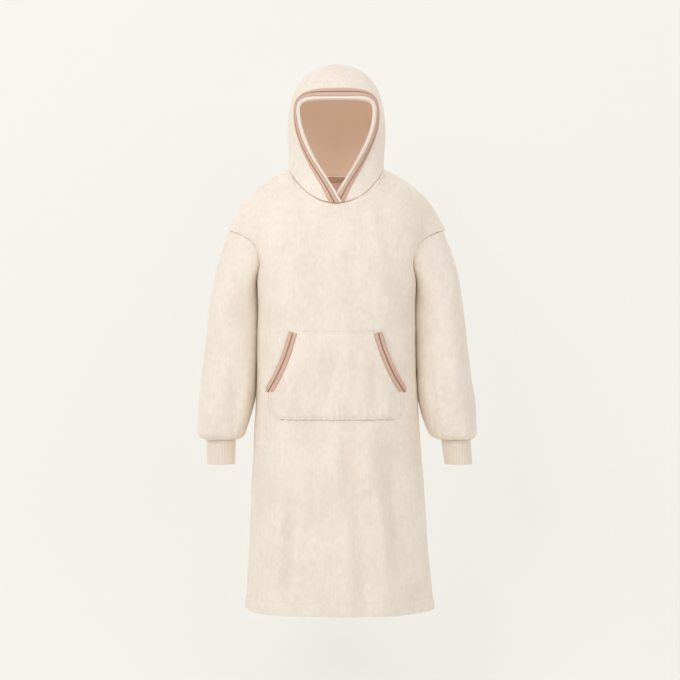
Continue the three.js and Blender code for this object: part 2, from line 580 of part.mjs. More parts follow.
add("front", wall(frontGrid, bodyWall), FLEECE);
add("back", wall(backGrid, bodyWall), FLEECE);

// A tape over the neck seam, on the inside of the back from shoulder to shoulder.
const neckColumns = [HALF_COLUMNS - NECK_COLUMNS, HALF_COLUMNS + NECK_COLUMNS + 1];
const neckGrid = backGrid.slice(-2).map((row) => row.slice(...neckColumns));
const insideBack = { turn: 1, thickness: () => NECK_TAPE, lift: () => -CLOTH - GAP, seams: { top: GAP } };
add("neck_tape", wall(neckGrid, insideBack), TWILL);

// Hood panels, and one tape that runs round the face opening over both of them.
const MIDDLE_FRONT_U = (FACE_EDGE.u * HOOD_FOOT.atFace) / (HOOD_FOOT.atFace - HOOD_FOOT.atFaceEdge);
const HOOD_ROWS = [0, FACE_EDGE.tapeFrom, MIDDLE_FRONT_U, ...spread(FACE_EDGE.u, 1, 11)];
const HOOD_COLUMNS = spread(0, 1, 2 * NECK_COLUMNS);
const hoodThins = (u) => soft(u, FACE_EDGE.u, FACE_EDGE.u + FACE_EDGE.thins);
const hoodThickness = ({ v }) => lerp(TURNED_EDGE, CLOTH, hoodThins(v));
const hoodGrid = (side) => sample((a, u) => plainHood(side, u, a), HOOD_COLUMNS, HOOD_ROWS, side);
const hoodSeams = { start: GAP, end: GAP, top: GAP };
const leftHood = hoodGrid(1);
const rightHood = hoodGrid(-1);
for (const grid of [leftHood, rightHood]) {
  for (const row of grid) {
    row[0].normal.setX(0).normalize();
    row.at(-1).normal.copy(neckNormal(row.at(-1).point));
  }
  for (const sample of grid.at(-1)) sample.normal.copy(neckNormal(sample.point));
}
add("hood_left", wall(leftHood, { turn: 1, thickness: hoodThickness, seams: hoodSeams }), FLEECE);
add("hood_right", wall(rightHood, { turn: -1, thickness: hoodThickness, seams: hoodSeams }), FLEECE);
const tapeGrid = [1, 2, 3].map((i) => [...rightHood[i].slice(1).reverse(), ...leftHood[i]]);
const overHood = () => GAP + WOVEN_TAPE;
const onHood = { turn: 1, thickness: () => WOVEN_TAPE, lift: overHood, seams: { start: GAP, end: GAP } };
add("hood_tape", wall(tapeGrid, onHood), BRAID);

// The slanting edge of the pocket on the wearer's left, as seen from the front: x across, y up.
const slant = new THREE.QuadraticBezierCurve(
  new THREE.Vector2(POCKET.topHalfWidth, POCKET.top),
  new THREE.Vector2(
    (POCKET.topHalfWidth + POCKET.halfWidth) / 2 - POCKET.slantBend,
    (POCKET.top + POCKET.slantEnds) / 2 - POCKET.slantBend,
  ),
  new THREE.Vector2(POCKET.halfWidth, POCKET.slantEnds),
);
const SLANT_STEPS = 8;
const CORNER_STEPS = 5;

function pocketOutline() {
  const left = [
    ...slant.getPoints(SLANT_STEPS),
    ...spread(0, 90, CORNER_STEPS).map((degrees) => {
      const angle = degToRad(degrees);
      const inset = POCKET.corner;
      return new THREE.Vector2(
        POCKET.halfWidth - inset + inset * Math.cos(angle),
        POCKET.bottom + inset - inset * Math.sin(angle),
      );
    }),
  ];
  return [...left, ...left.map(({ x, y }) => new THREE.Vector2(-x, y)).reverse()];
}

// The band that a tape covers beside the slanting edge, from a little above the pocket's top.
function tapeOutline(side) {
  const steps = [-POCKET_TAPE.overshoot, ...spread(0, 1, SLANT_STEPS)];
  const edge = (inset) =>
    steps.map((t) => {
      const along = slant.getTangent(Math.max(0, t));
      const point = slant.getPoint(Math.max(0, t)).addScaledVector(along, Math.min(0, t));
      return new THREE.Vector2(side * (point.x + inset * along.y), point.y - inset * along.x);
    });
  return [...edge(POCKET_TAPE.edge), ...edge(POCKET_TAPE.edge + POCKET_TAPE.width).reverse()];
}

function solidOf(geometry) {
  const bare = geometry.clone();
  for (const name of ["normal", "uv"]) bare.deleteAttribute(name);
  const merged = mergeVertices(bare, SAME);
  return new wasm.Manifold(
    new wasm.Mesh({
      numProp: 3,
      vertProperties: merged.attributes.position.array,
      triVerts: new Uint32Array(merged.index.array),
    }),
  );
}

function geometryOf(solid) {
  const { numProp, vertProperties, triVerts } = solid.getMesh();
  const positions = new THREE.InterleavedBuffer(vertProperties, numProp);
  const geometry = new THREE.BufferGeometry();
  geometry.setAttribute("position", new THREE.InterleavedBufferAttribute(positions, 3, 0));
  geometry.setIndex(new THREE.BufferAttribute(triVerts, 1));
  return geometry;
}

// The part of a wall that lies behind an outline drawn on the front.
const FRONT_REACH = 260;
function cutOut(geometry, outline) {
  const shape = new THREE.Shape(outline);
  const prism = new THREE.ExtrudeGeometry(shape, { depth: FRONT_REACH, bevelEnabled: false });
  prism.rotateX(Math.PI / 2);
  return geometryOf(solidOf(geometry).intersect(solidOf(prism)));
}

// How far the pocket's bag stands off the front: nothing at the stitched edges, and most at its middle.
function pocketLift({ point }) {
  const up = (point.z - POCKET.bottom) / (POCKET.top - POCKET.bottom);
  const share = Math.sin(Math.PI * Math.min(1, Math.max(0, up)));
  const { from, to, above, below } = POCKET_SIDES;
  const free = 1 - soft(Math.abs(point.x), from, to) * soft(point.z, above, below);
  const folds = POCKET_FOLDS.map(({ x, topZ, width, height }) =>
    height * bell((point.x - x) / width) * soft(point.z, topZ, topZ - POCKET_FOLD_GROWS),
  );
  const puff = folds.reduce((sum, fold) => sum + fold, POCKET.puff);
  return GAP + Math.max(0, puff * share * free);
}

// The pocket and its tapes are made from the front's own points, moved out, and then cut to their outlines.
const pocketRows = frontGrid.filter(([{ v }]) => {
  const { z } = plainBody(-1, 0, v);
  return z > POCKET_CLOTH.bottom && z < POCKET_CLOTH.top;
});
const pocketGrid = pocketRows.map((row) => row.slice(POCKET_CLOTH.columnsOff, -POCKET_CLOTH.columnsOff));
const pocketOuter = (s) => pocketLift(s) + CLOTH;
const pocketSlab = wall(pocketGrid, { turn: 1, thickness: () => CLOTH, lift: pocketOuter });
add("pocket", cutOut(pocketSlab, pocketOutline()), FLEECE);
const tapeOuter = (s) => pocketOuter(s) + GAP + WOVEN_TAPE;
const tapeSlab = wall(pocketGrid, { turn: 1, thickness: () => WOVEN_TAPE, lift: tapeOuter });
for (const [name, side] of [["left", 1], ["right", -1]]) {
  const outline = side > 0 ? tapeOutline(side) : tapeOutline(side).reverse();
  add(`pocket_tape_${name}`, cutOut(tapeSlab, outline), BRAID);
}

export default garment;
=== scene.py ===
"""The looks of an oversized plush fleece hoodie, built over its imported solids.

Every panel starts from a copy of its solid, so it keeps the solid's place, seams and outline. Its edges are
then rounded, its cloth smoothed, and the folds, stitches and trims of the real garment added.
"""

from __future__ import annotations

import logging
import math
from dataclasses import dataclass
from enum import Enum
from typing import Any, Callable, Iterable, Iterator, Sequence

import bmesh
import bpy
import numpy as np
from bmesh.types import BMEdge, BMesh, BMVert
from bpy.types import Material, Mesh, Node, NodeTree, Object
from mathutils import Matrix, Vector, noise
from mathutils.bvhtree import BVHTree


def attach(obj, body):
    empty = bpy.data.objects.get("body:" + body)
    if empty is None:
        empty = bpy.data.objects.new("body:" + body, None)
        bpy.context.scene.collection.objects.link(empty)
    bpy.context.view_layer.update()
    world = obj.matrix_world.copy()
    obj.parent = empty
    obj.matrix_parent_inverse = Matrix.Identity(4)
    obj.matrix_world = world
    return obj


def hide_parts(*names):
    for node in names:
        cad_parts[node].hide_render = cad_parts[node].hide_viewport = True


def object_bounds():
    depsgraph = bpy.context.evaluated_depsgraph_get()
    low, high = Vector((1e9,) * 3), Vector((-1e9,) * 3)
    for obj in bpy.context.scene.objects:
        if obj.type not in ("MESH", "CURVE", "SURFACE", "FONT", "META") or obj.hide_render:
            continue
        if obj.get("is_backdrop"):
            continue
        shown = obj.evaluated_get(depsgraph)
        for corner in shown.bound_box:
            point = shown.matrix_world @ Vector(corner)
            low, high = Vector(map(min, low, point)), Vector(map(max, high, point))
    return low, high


LOG = logging.getLogger("hoodie")
MM = 0.001
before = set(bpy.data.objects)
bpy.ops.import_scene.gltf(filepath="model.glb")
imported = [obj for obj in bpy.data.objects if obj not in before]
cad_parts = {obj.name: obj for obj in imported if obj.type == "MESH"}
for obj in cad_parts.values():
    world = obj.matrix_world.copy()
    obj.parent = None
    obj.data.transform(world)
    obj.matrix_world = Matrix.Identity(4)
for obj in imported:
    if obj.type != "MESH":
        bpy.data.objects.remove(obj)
CAD_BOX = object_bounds()
CLOTH = 4 * MM  # the thickness of the fleece
BRAID_WIDTH = 25 * MM
BRAID_REPEAT = 5 * MM  # length of one repeat of its herringbone
CURVE_STEPS = 12  # to each stretch of a smoothed chain
WAVE = 0.31  # over a ripple's length, this gives the scale of a wave texture

Place = tuple[Vector, Vector]  # a point on the cloth, and the way that the cloth faces there
Shaper = Callable[[np.ndarray, np.ndarray], np.ndarray]  # lifts in millimetres, from points and outward ways


class Slot(Enum):
    """The finishes, by name."""

    FLEECE = "fleece"
    KNIT = "cuff_knit"
    BRAID = "trim_braid"
    TWILL = "neck_twill"


class Held(Enum):
    """How a piece of cloth is held."""

    HUNG = "hung"
    LAID = "laid"
    STRETCHED = "stretched"


class Side(Enum):
    """The wearer's left, towards +X, and right."""

    LEFT = 1
    RIGHT = -1

    @property
    def word(self) -> str:
        """The side's name as the solids spell it."""
        return self.name.lower()


# Small tools


def linear(colour: str) -> tuple[float, float, float, float]:
    """Turn an sRGB colour, as "#rrggbb", into the linear one that shaders use, with an alpha of 1."""
    shares = [int(colour[k : k + 2], 16) / 255 for k in (1, 3, 5)]
    red, green, blue = (s / 12.92 if s <= 0.04045 else ((s + 0.055) / 1.055) ** 2.4 for s in shares)
    return red, green, blue, 1.0


def plug(tree: NodeTree, node: Node, inputs: dict[Any, Any]) -> None:
    """Link or set a node's inputs.

    Args:
        tree: the material's node tree.
        node: the node.
        inputs: values, output sockets or nodes (for their first output), by the input's name or number.
    """
    for name, value in inputs.items():
        if isinstance(value, Node):
            value = value.outputs[0]
        if isinstance(value, bpy.types.NodeSocket):
            tree.links.new(value, node.inputs[name])
        else:
            node.inputs[name].default_value = value


def add_node(tree: NodeTree, kind: str, inputs: dict[Any, Any] | None = None, **settings: Any) -> Node:
    """Add a shader node.

    Args:
        tree: the material's node tree.
        kind: the node's type.
        inputs: what plug takes.
        **settings: the node's own properties.

    Returns:
        The new node.
    """
    node = tree.nodes.new(kind)
    for name, value in settings.items():
        setattr(node, name, value)
    plug(tree, node, inputs or {})
    return node


def new_material(name: str) -> tuple[Material, NodeTree, Node]:
    """Start a material, and give it with its node tree and its Principled shader."""
    material = bpy.data.materials.new(name)
    material.use_nodes = True
    tree = material.node_tree
    return material, tree, tree.nodes["Principled BSDF"]


def soft(x: np.ndarray | float, start: float, end: float) -> np.ndarray:
    """Rise smoothly from 0 at start to 1 at end."""
    share = np.clip((x - start) / (end - start), 0, 1)
    return share * share * (3 - 2 * share)


def bell(x: np.ndarray | float) -> np.ndarray:
    """Rise to 1 at 0 and fall away on both sides."""
    return np.exp(-np.square(x))


def clamp(x: float) -> float:
    """Keep a share between 0 and 1."""
    return min(1.0, max(0.0, x))


def vectors_of(mesh: Mesh, kind: str = "co") -> np.ndarray:
    """Read a mesh's points, or with "normal" their normals, as rows of x, y and z."""
    flat = np.zeros(len(mesh.vertices) * 3)
    mesh.vertices.foreach_get(kind, flat)
    return flat.reshape(-1, 3)


def set_points(mesh: Mesh, points: np.ndarray) -> None:
    """Give a mesh new places for its points."""
    mesh.vertices.foreach_set("co", points.astype(np.float32).ravel())
    mesh.update()


def grain(points: np.ndarray, size: float) -> np.ndarray:
    """Read smooth noise, from about -1 to 1, at each point. Its lumps are a size apart, in metres."""
    return np.array([noise.noise(Vector(p)) for p in points / size]) * 1.6


def walk(points: Sequence[Vector], steps: Iterable[float], parts: int) -> Iterator[tuple[int, float]]:
    """Find places along a chain that is divided into equal parts.

    Args:
        points: the chain, in order.
        steps: rising counts of parts from its start.
        parts: how many parts it has.

    Yields:
        For each step, the number of the stretch that it lies on, and how far along that stretch.
    """
    lengths = [0.0]
    for a, b in zip(points, points[1:]):
        lengths.append(lengths[-1] + (b - a).length)
    k = 0
    for step in steps:
        target = step * lengths[-1] / parts
        while k < len(points) - 2 and lengths[k + 1] < target:
            k += 1
        span = max(lengths[k + 1] - lengths[k], 1e-9)
        yield k, min(1, (target - lengths[k]) / span)


def length_of(points: Sequence[Vector]) -> float:
    """Measure a chain of points."""
    return sum((b - a).length for a, b in zip(points, points[1:]))


def even_chain(points: Sequence[Vector], count: int) -> list[Vector]:
    """Space a count of points evenly on a smooth curve that joins up a chain's points, ends included."""
    dense = []
    for k in range(len(points) - 1):
        a, b = points[k], points[k + 1]
        leave = (b - points[max(0, k - 1)]) / 2
        arrive = (points[min(len(points) - 1, k + 2)] - a) / 2
        for t in (step / CURVE_STEPS for step in range(CURVE_STEPS)):
            begun = a * (2 * t**3 - 3 * t**2 + 1) + leave * (t**3 - 2 * t**2 + t)
            dense.append(begun + b * (3 * t**2 - 2 * t**3) + arrive * (t**3 - t**2))
    dense.append(points[-1])
    places = walk(dense, range(count), count - 1)
    return [dense[k].lerp(dense[k + 1], share) for k, share in places]


def object_from(name: str, bm: BMesh, materials: Sequence[Material]) -> Object:
    """Make a smooth-shaded object at the origin.

    Args:
        name: the piece's name.
        bm: its shape, in place. It is freed.
        materials: its materials, in the order of its faces' numbers.

    Returns:
        The object, linked to the scene.
    """
    mesh = bpy.data.meshes.new(name)
    bm.to_mesh(mesh)
    bm.free()
    for material in materials:
        mesh.materials.append(material)
    mesh.shade_smooth()
    made = bpy.data.objects.new(name, mesh)
    bpy.context.scene.collection.objects.link(made)
    return made


def apply_modifiers(piece: Object) -> None:
    """Make the result of a piece's modifiers its own mesh."""
    shaped = piece.evaluated_get(bpy.context.evaluated_depsgraph_get())
    mesh = bpy.data.meshes.new_from_object(shaped)
    piece.modifiers.clear()
    piece.data = mesh


def tree_of(piece: Object) -> BVHTree:
    """Make a piece ready for finding places on its surface."""
    return BVHTree.FromObject(piece, bpy.context.evaluated_depsgraph_get())


def finish_piece(piece: Object, slot: Slot, node: str = "") -> None:
    """Let a piece ride on the garment, and stand it in for its solid if it has one."""
    if node:
        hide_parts(node)
    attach(piece, "root")
    LOG.info("%s: %d faces", piece.name, len(piece.data.polygons))


# Finishes


@dataclass(frozen=True)
class PlushFleece:
    """Brushed polyester plush: a short dense pile that looks soft, matt and a little mottled."""

    colour: str = "#f3e9dd"
    shaded: str = "#ecdfd1"
    pile: float = 3 * MM  # tufts of the pile
    clump: float = 9 * MM  # where the pile clumps together
    brushed: float = 55 * MM  # where it was last stroked another way
    pile_height: float = 0.7 * MM
    clump_height: float = 1.1 * MM

    def make(self) -> Material:
        """Build the material: mottled cream, with tufts and clumps in its bump and a soft sheen."""
        material, tree, shader = new_material("plush_fleece")
        place = add_node(tree, "ShaderNodeTexCoord").outputs["Object"]
        down = add_node(tree, "ShaderNodeMapping", {"Vector": place, "Scale": (1, 1, 0.55)})
        pile, clump, brushed = (
            add_node(tree, "ShaderNodeTexNoise", {"Vector": down, "Scale": 1 / size, "Detail": 2.0})
            for size in (self.pile, self.clump, self.brushed)
        )
        mottle = add_node(tree, "ShaderNodeMath", {0: clump, 1: brushed}, operation="ADD")
        share = add_node(tree, "ShaderNodeMapRange", {"Value": mottle, "From Min": 0.75, "From Max": 1.25})
        tones = {"Color1": linear(self.shaded), "Color2": linear(self.colour)}
        tone = add_node(tree, "ShaderNodeMixRGB", {"Fac": share, **tones})
        relief = {"Height": clump, "Distance": self.clump_height, "Strength": 0.55}
        clumps = add_node(tree, "ShaderNodeBump", relief)
        relief = {"Height": pile, "Distance": self.pile_height, "Strength": 0.6, "Normal": clumps}
        tufts = add_node(tree, "ShaderNodeBump", relief)
        plug(tree, shader, {"Base Color": tone, "Normal": tufts, "Roughness": 0.95, "Specular IOR Level": 0.15})
        plug(tree, shader, {"Sheen Weight": 0.2, "Sheen Roughness": 0.6, "Sheen Tint": linear("#fff6ec")})
        return material


@dataclass(frozen=True)
class FleeceInnerPaintedGlow:
    """The cloth's inner face: the same plush, with painted warm shade in its colour and a painted glow in its
    emission.
    """

    # painted warm shade: warmer and darker than the outer plush, standing in for the shade inside the garment
    colour: str = "#f2e2d3"
    # painted glow: the tint and strength of an emission that lights the inner face, though it is no lamp
    painted_glow_tint: str = "#e4c8b2"
    daylight: float = 0.115
    clump: float = 7 * MM

    def make(self) -> Material:
        """Build the material: painted warm shade in its colour, matt, with clumps in its bump and a painted
        glow.
        """
        material, tree, shader = new_material("fleece_inner_painted_glow")
        place = add_node(tree, "ShaderNodeTexCoord").outputs["Object"]
        clump = add_node(tree, "ShaderNodeTexNoise", {"Vector": place, "Scale": 1 / self.clump, "Detail": 3.0})
        bump = add_node(tree, "ShaderNodeBump", {"Height": clump, "Distance": 0.9 * MM, "Strength": 0.6})
        surface = {"Base Color": linear(self.colour), "Roughness": 0.95, "Specular IOR Level": 0.1}
        plug(tree, shader, {"Normal": bump, **surface})
        # painted glow: emission that brightens the inner face
        plug(tree, shader, {"Emission Color": linear(self.painted_glow_tint), "Emission Strength": self.daylight})
        return material


@dataclass(frozen=True)
class RibKnit:
    """Fine rib knit of cotton with elastane: matt, with painted shade darkening the furrows between its ribs.
    """

    colour: str = "#f5ebdf"
    painted_furrow_shade: str = "#e3d2c0"
    stitch: float = 1.6 * MM

    def make(self) -> Material:
        """Build the material, whose ribs and painted furrow shade follow the piece's own rib attribute."""
        material, tree, shader = new_material("rib_knit")
        place = add_node(tree, "ShaderNodeTexCoord").outputs["Object"]
        rib = add_node(tree, "ShaderNodeAttribute", attribute_name="rib").outputs["Fac"]
        # painted shade: the colour darkens towards the furrows between the ribs
        tones = {"Color1": linear(self.painted_furrow_shade), "Color2": linear(self.colour)}
        tone = add_node(tree, "ShaderNodeMixRGB", {"Fac": rib, **tones})
        pattern = {"Vector": place, "Scale": WAVE / self.stitch, "Distortion": 1.5, "Detail": 1.0}
        loops = add_node(tree, "ShaderNodeTexWave", pattern, bands_direction="Z").outputs["Fac"]
        bump = add_node(tree, "ShaderNodeBump", {"Height": loops, "Distance": 0.25 * MM, "Strength": 0.5})
        plug(tree, shader, {"Base Color": tone, "Normal": bump, "Roughness": 0.9})
        plug(tree, shader, {"Specular IOR Level": 0.2, "Sheen Weight": 0.1})
        return material


@dataclass(frozen=True)
class WovenBraid:
    """Woven polyester braid: two herringbone bands in pink and tan yarn, parted by a dark rib."""

    pale: str = "#f8e3d4"
    pink: str = "#dcb09a"
    tan: str = "#ad7d64"
    rib: str = "#8a5d45"
    rib_pale: str = "#ad8066"
    edge: str = "#b58c74"
    rib_half: float = 0.07  # half the rib's share of the width
    edge_share: float = 0.035

    def make(self) -> Material:
        """Build the braid. It reads the tape's own UV map, in metres along and across."""
        material, tree, shader = new_material("woven_braid")
        step, mix = "ShaderNodeMath", "ShaderNodeMixRGB"
        flat = add_node(tree, "ShaderNodeUVMap", uv_map="tape")
        parts = add_node(tree, "ShaderNodeSeparateXYZ", {0: flat}).outputs
        along, across = parts["X"], parts["Y"]
        shifted = add_node(tree, step, {0: across, 1: BRAID_WIDTH / 2}, operation="SUBTRACT")
        from_middle = add_node(tree, step, {0: shifted}, operation="ABSOLUTE")
        slanted = add_node(tree, step, {0: along, 1: from_middle}, operation="ADD")
        turned = add_node(tree, step, {0: slanted, 1: math.tau / BRAID_REPEAT}, operation="MULTIPLY")
        twill = add_node(tree, step, {0: turned}, operation="SINE")
        beat = add_node(tree, step, {0: along, 1: 2 * math.tau / BRAID_REPEAT}, operation="MULTIPLY")
        picks = add_node(tree, step, {0: beat}, operation="SINE")
        weave = add_node(tree, step, {0: picks, 1: 0.35, 2: twill}, operation="MULTIPLY_ADD")
        yarn = add_node(tree, "ShaderNodeMapRange", {"Value": weave, "From Min": -1.1, "From Max": 1.1})
        bands = add_node(tree, "ShaderNodeValToRGB", {"Fac": yarn})
        stops = [(0.12, self.tan), (0.5, self.pink), (0.9, self.pale)]
        bands.color_ramp.elements.new(0.5)
        for element, (at, colour) in zip(bands.color_ramp.elements, stops):
            element.position = at
            element.color = linear(colour)
        raised = add_node(tree, step, {0: picks, 1: 0.3}, operation="GREATER_THAN")
        tones = {"Color1": linear(self.rib), "Color2": linear(self.rib_pale)}
        rib = add_node(tree, mix, {"Fac": raised, **tones})
        rib_reach = BRAID_WIDTH * self.rib_half
        in_rib = add_node(tree, step, {0: from_middle, 1: rib_reach}, operation="LESS_THAN")
        edge_from = BRAID_WIDTH * (0.5 - self.edge_share)
        at_edge = add_node(tree, step, {0: from_middle, 1: edge_from}, operation="GREATER_THAN")
        face = add_node(tree, mix, {"Fac": in_rib, "Color1": bands, "Color2": rib})
        woven = add_node(tree, mix, {"Fac": at_edge, "Color1": face, "Color2": linear(self.edge)})
        bump = add_node(tree, "ShaderNodeBump", {"Height": yarn, "Distance": 0.5 * MM, "Strength": 0.7})
        plug(tree, shader, {"Base Color": woven, "Normal": bump, "Roughness": 0.75})
        plug(tree, shader, {"Specular IOR Level": 0.25, "Sheen Weight": 0.1})
        return material


@dataclass(frozen=True)
class CottonTwill:
    """Cotton twill tape: pale peach, matt, with a fine diagonal rib whose furrows carry painted shade."""

    colour: str = "#edd2be"
    painted_furrow_shade: str = "#dab9a4"
    rib: float = 1.8 * MM

    def make(self) -> Material:
        """Build the material, with its diagonal on the object's own coordinates."""
        material, tree, shader = new_material("cotton_twill")
        place = add_node(tree, "ShaderNodeTexCoord").outputs["Object"]
        slant = (0, math.radians(40), 0)
        turned = add_node(tree, "ShaderNodeMapping", {"Vector": place, "Rotation": slant})
        pattern = {"Vector": turned, "Scale": WAVE / self.rib, "Distortion": 0.4}
        ribs = add_node(tree, "ShaderNodeTexWave", pattern).outputs["Fac"]
        # painted shade: the colour darkens in the furrows of the diagonal rib, where its bump is low
        tones = {"Color1": linear(self.painted_furrow_shade), "Color2": linear(self.colour)}
        tone = add_node(tree, "ShaderNodeMixRGB", {"Fac": ribs, **tones})
        bump = add_node(tree, "ShaderNodeBump", {"Height": ribs, "Distance": 0.25 * MM, "Strength": 0.5})
        plug(tree, shader, {"Base Color": tone, "Normal": bump, "Roughness": 0.9})
        return material


@dataclass(frozen=True)
class SewingThread:
    """Spun polyester thread: matt, with a faint twist."""

    colour: str = "#e6d6c4"
    twist: float = 0.8 * MM

    def make(self) -> Material:
        """Build the material."""
        material, tree, shader = new_material("sewing_thread")
        place = add_node(tree, "ShaderNodeTexCoord").outputs["Object"]
        pattern = {"Vector": place, "Scale": WAVE / self.twist, "Distortion": 2.0}
        ply = add_node(tree, "ShaderNodeTexWave", pattern).outputs["Fac"]
        bump = add_node(tree, "ShaderNodeBump", {"Height": ply, "Distance": 0.15 * MM, "Strength": 0.4})
        plug(tree, shader, {"Base Color": linear(self.colour), "Normal": bump, "Roughness": 0.75})
        return material


# Cloth


@dataclass(frozen=True)
class Cut:
    """The flat cloth that a panel was cut from, in metres, and how it is held."""

    width: float
    length: float
    area: float
    held: Held = Held.HUNG
    hangs_from: tuple[str, ...] = ()

    def declare(self, piece: Object, extras: Sequence[Object] = ()) -> None:
        """Take a piece of this cut, with what is sewn on it; nothing is done with them."""
        list(self.hangs_from)


@dataclass(frozen=True)
class Fold:
    """A soft fold laid along a line on the cloth, in millimetres.

    A ridge has a height above 0 and a trough one below. Places are across and up, as each panel counts them.
    """

    start: tuple[float, float]
    end: tuple[float, float]
    width: float
    height: float
    bow: float = 0.0

    def raise_by(self, across: np.ndarray | float, up: np.ndarray | float) -> np.ndarray:
        """Work out how far the fold lifts the cloth at places across and up."""
        (x0, z0), (x1, z1) = self.start, self.end
        length = math.hypot(x1 - x0, z1 - z0)
        along = ((across - x0) * (x1 - x0) + (up - z0) * (z1 - z0)) / length**2
        off = ((across - x0) * (z1 - z0) - (up - z0) * (x1 - x0)) / length
        off = off - self.bow * 4 * np.clip(along, 0, 1) * (1 - np.clip(along, 0, 1))
        ends = soft(along, -0.12, 0.3) * soft(along, 1.12, 0.7)
        return self.height * bell(off / self.width) * ends


def folds_facing(folds: Sequence[Fold], facing: int) -> Shaper:
    """Lay folds on the front of the body, facing -1, or the back, facing 1, counted in x and z."""

    def shaper(points: np.ndarray, outward: np.ndarray) -> np.ndarray:
        """Add the folds up, fading them where the cloth turns to the sides."""
        across, up = points[:, 0] / MM, points[:, 2] / MM
        turned = soft(outward[:, 1] * facing, 0.0, 0.35)
        return sum(fold.raise_by(across, up) for fold in folds) * turned

    return shaper


def folds_round(folds: Sequence[Fold], middle: tuple[float, float], radius: float, side: int) -> Shaper:
    """Lay folds round a sleeve or the hood.

    Args:
        folds: their places across are degrees, 0 on the outside, 90 at the front and 270 at the back.
        middle: the x and y of the tube's middle, in metres.
        radius: the tube's radius in millimetres, to turn degrees into lengths.
        side: 1 where the outside is towards +X.

    Returns:
        The shaper.
    """
    scale = math.radians(radius)

    def shaper(points: np.ndarray, outward: np.ndarray) -> np.ndarray:
        """Add the folds up on the unrolled tube."""
        angle = np.degrees(np.arctan2(-(points[:, 1] - middle[1]), side * (points[:, 0] - middle[0]))) % 360
        total = np.zeros(len(points))
        for fold in folds:
            (first, low), (second, high) = fold.start, fold.end
            centre = (first + second) / 2
            near = (angle - centre + 180) % 360 - 180 + centre
            flat = Fold((first * scale, low), (second * scale, high), fold.width, fold.height, fold.bow)
            total += flat.raise_by(near * scale, points[:, 2] / MM)
        return total

    return shaper


def solid_copy(node: str) -> BMesh:
    """Copy a solid and make its loose triangles one closed shell of four-sided faces."""
    bm = bmesh.new()
    bm.from_mesh(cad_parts[node].data)
    bmesh.ops.remove_doubles(bm, verts=bm.verts, dist=0.01 * MM)
    flat, shape = math.radians(40), math.radians(80)
    bmesh.ops.join_triangles(bm, faces=bm.faces, angle_face_threshold=flat, angle_shape_threshold=shape)
    return bm


def outer_face(bm: BMesh) -> BVHTree:
    """Make the faces numbered 0 ready for finding the nearest place on them."""
    outer = bm.copy()
    others = [f for f in outer.faces if f.material_index != 0]
    bmesh.ops.delete(outer, geom=others, context="FACES")
    surface = BVHTree.FromBMesh(outer)
    outer.free()
    return surface


def mark_faces(bm: BMesh, thickness: float = 0.0) -> list[BMEdge]:
    """Number the faces of a shell of cloth: 0 on its larger face, 1 on the other and 2 on the cut edges.

    Args:
        bm: the copy of the solid.
        thickness: the cloth's, where the inner face is to be told from the cut edges by depth too.

    Returns:
        The edges between the cut edges and the two faces of the cloth.
    """
    turns = {e for e in bm.edges if e.calc_face_angle(0) > math.radians(50)}
    left = set(bm.faces)
    islands = []
    while left:
        todo = [left.pop()]
        island = []
        while todo:
            face = todo.pop()
            island.append(face)
            for edge in set(face.edges) - turns:
                near = [f for f in edge.link_faces if f in left]
                left.difference_update(near)
                todo.extend(near)
        islands.append(island)
    islands.sort(key=lambda island: -sum(f.calc_area() for f in island))
    for number, island in enumerate(islands):
        for face in island:
            face.material_index = min(number, 2)
    if thickness:
        surface = outer_face(bm)
        for face in (f for f in bm.faces if f.material_index == 1):
            if surface.find_nearest(face.calc_center_median())[3] < 0.75 * thickness:
                face.material_index = 2
    return [e for e in bm.edges if e in turns and any(f.material_index == 2 for f in e.link_faces)]


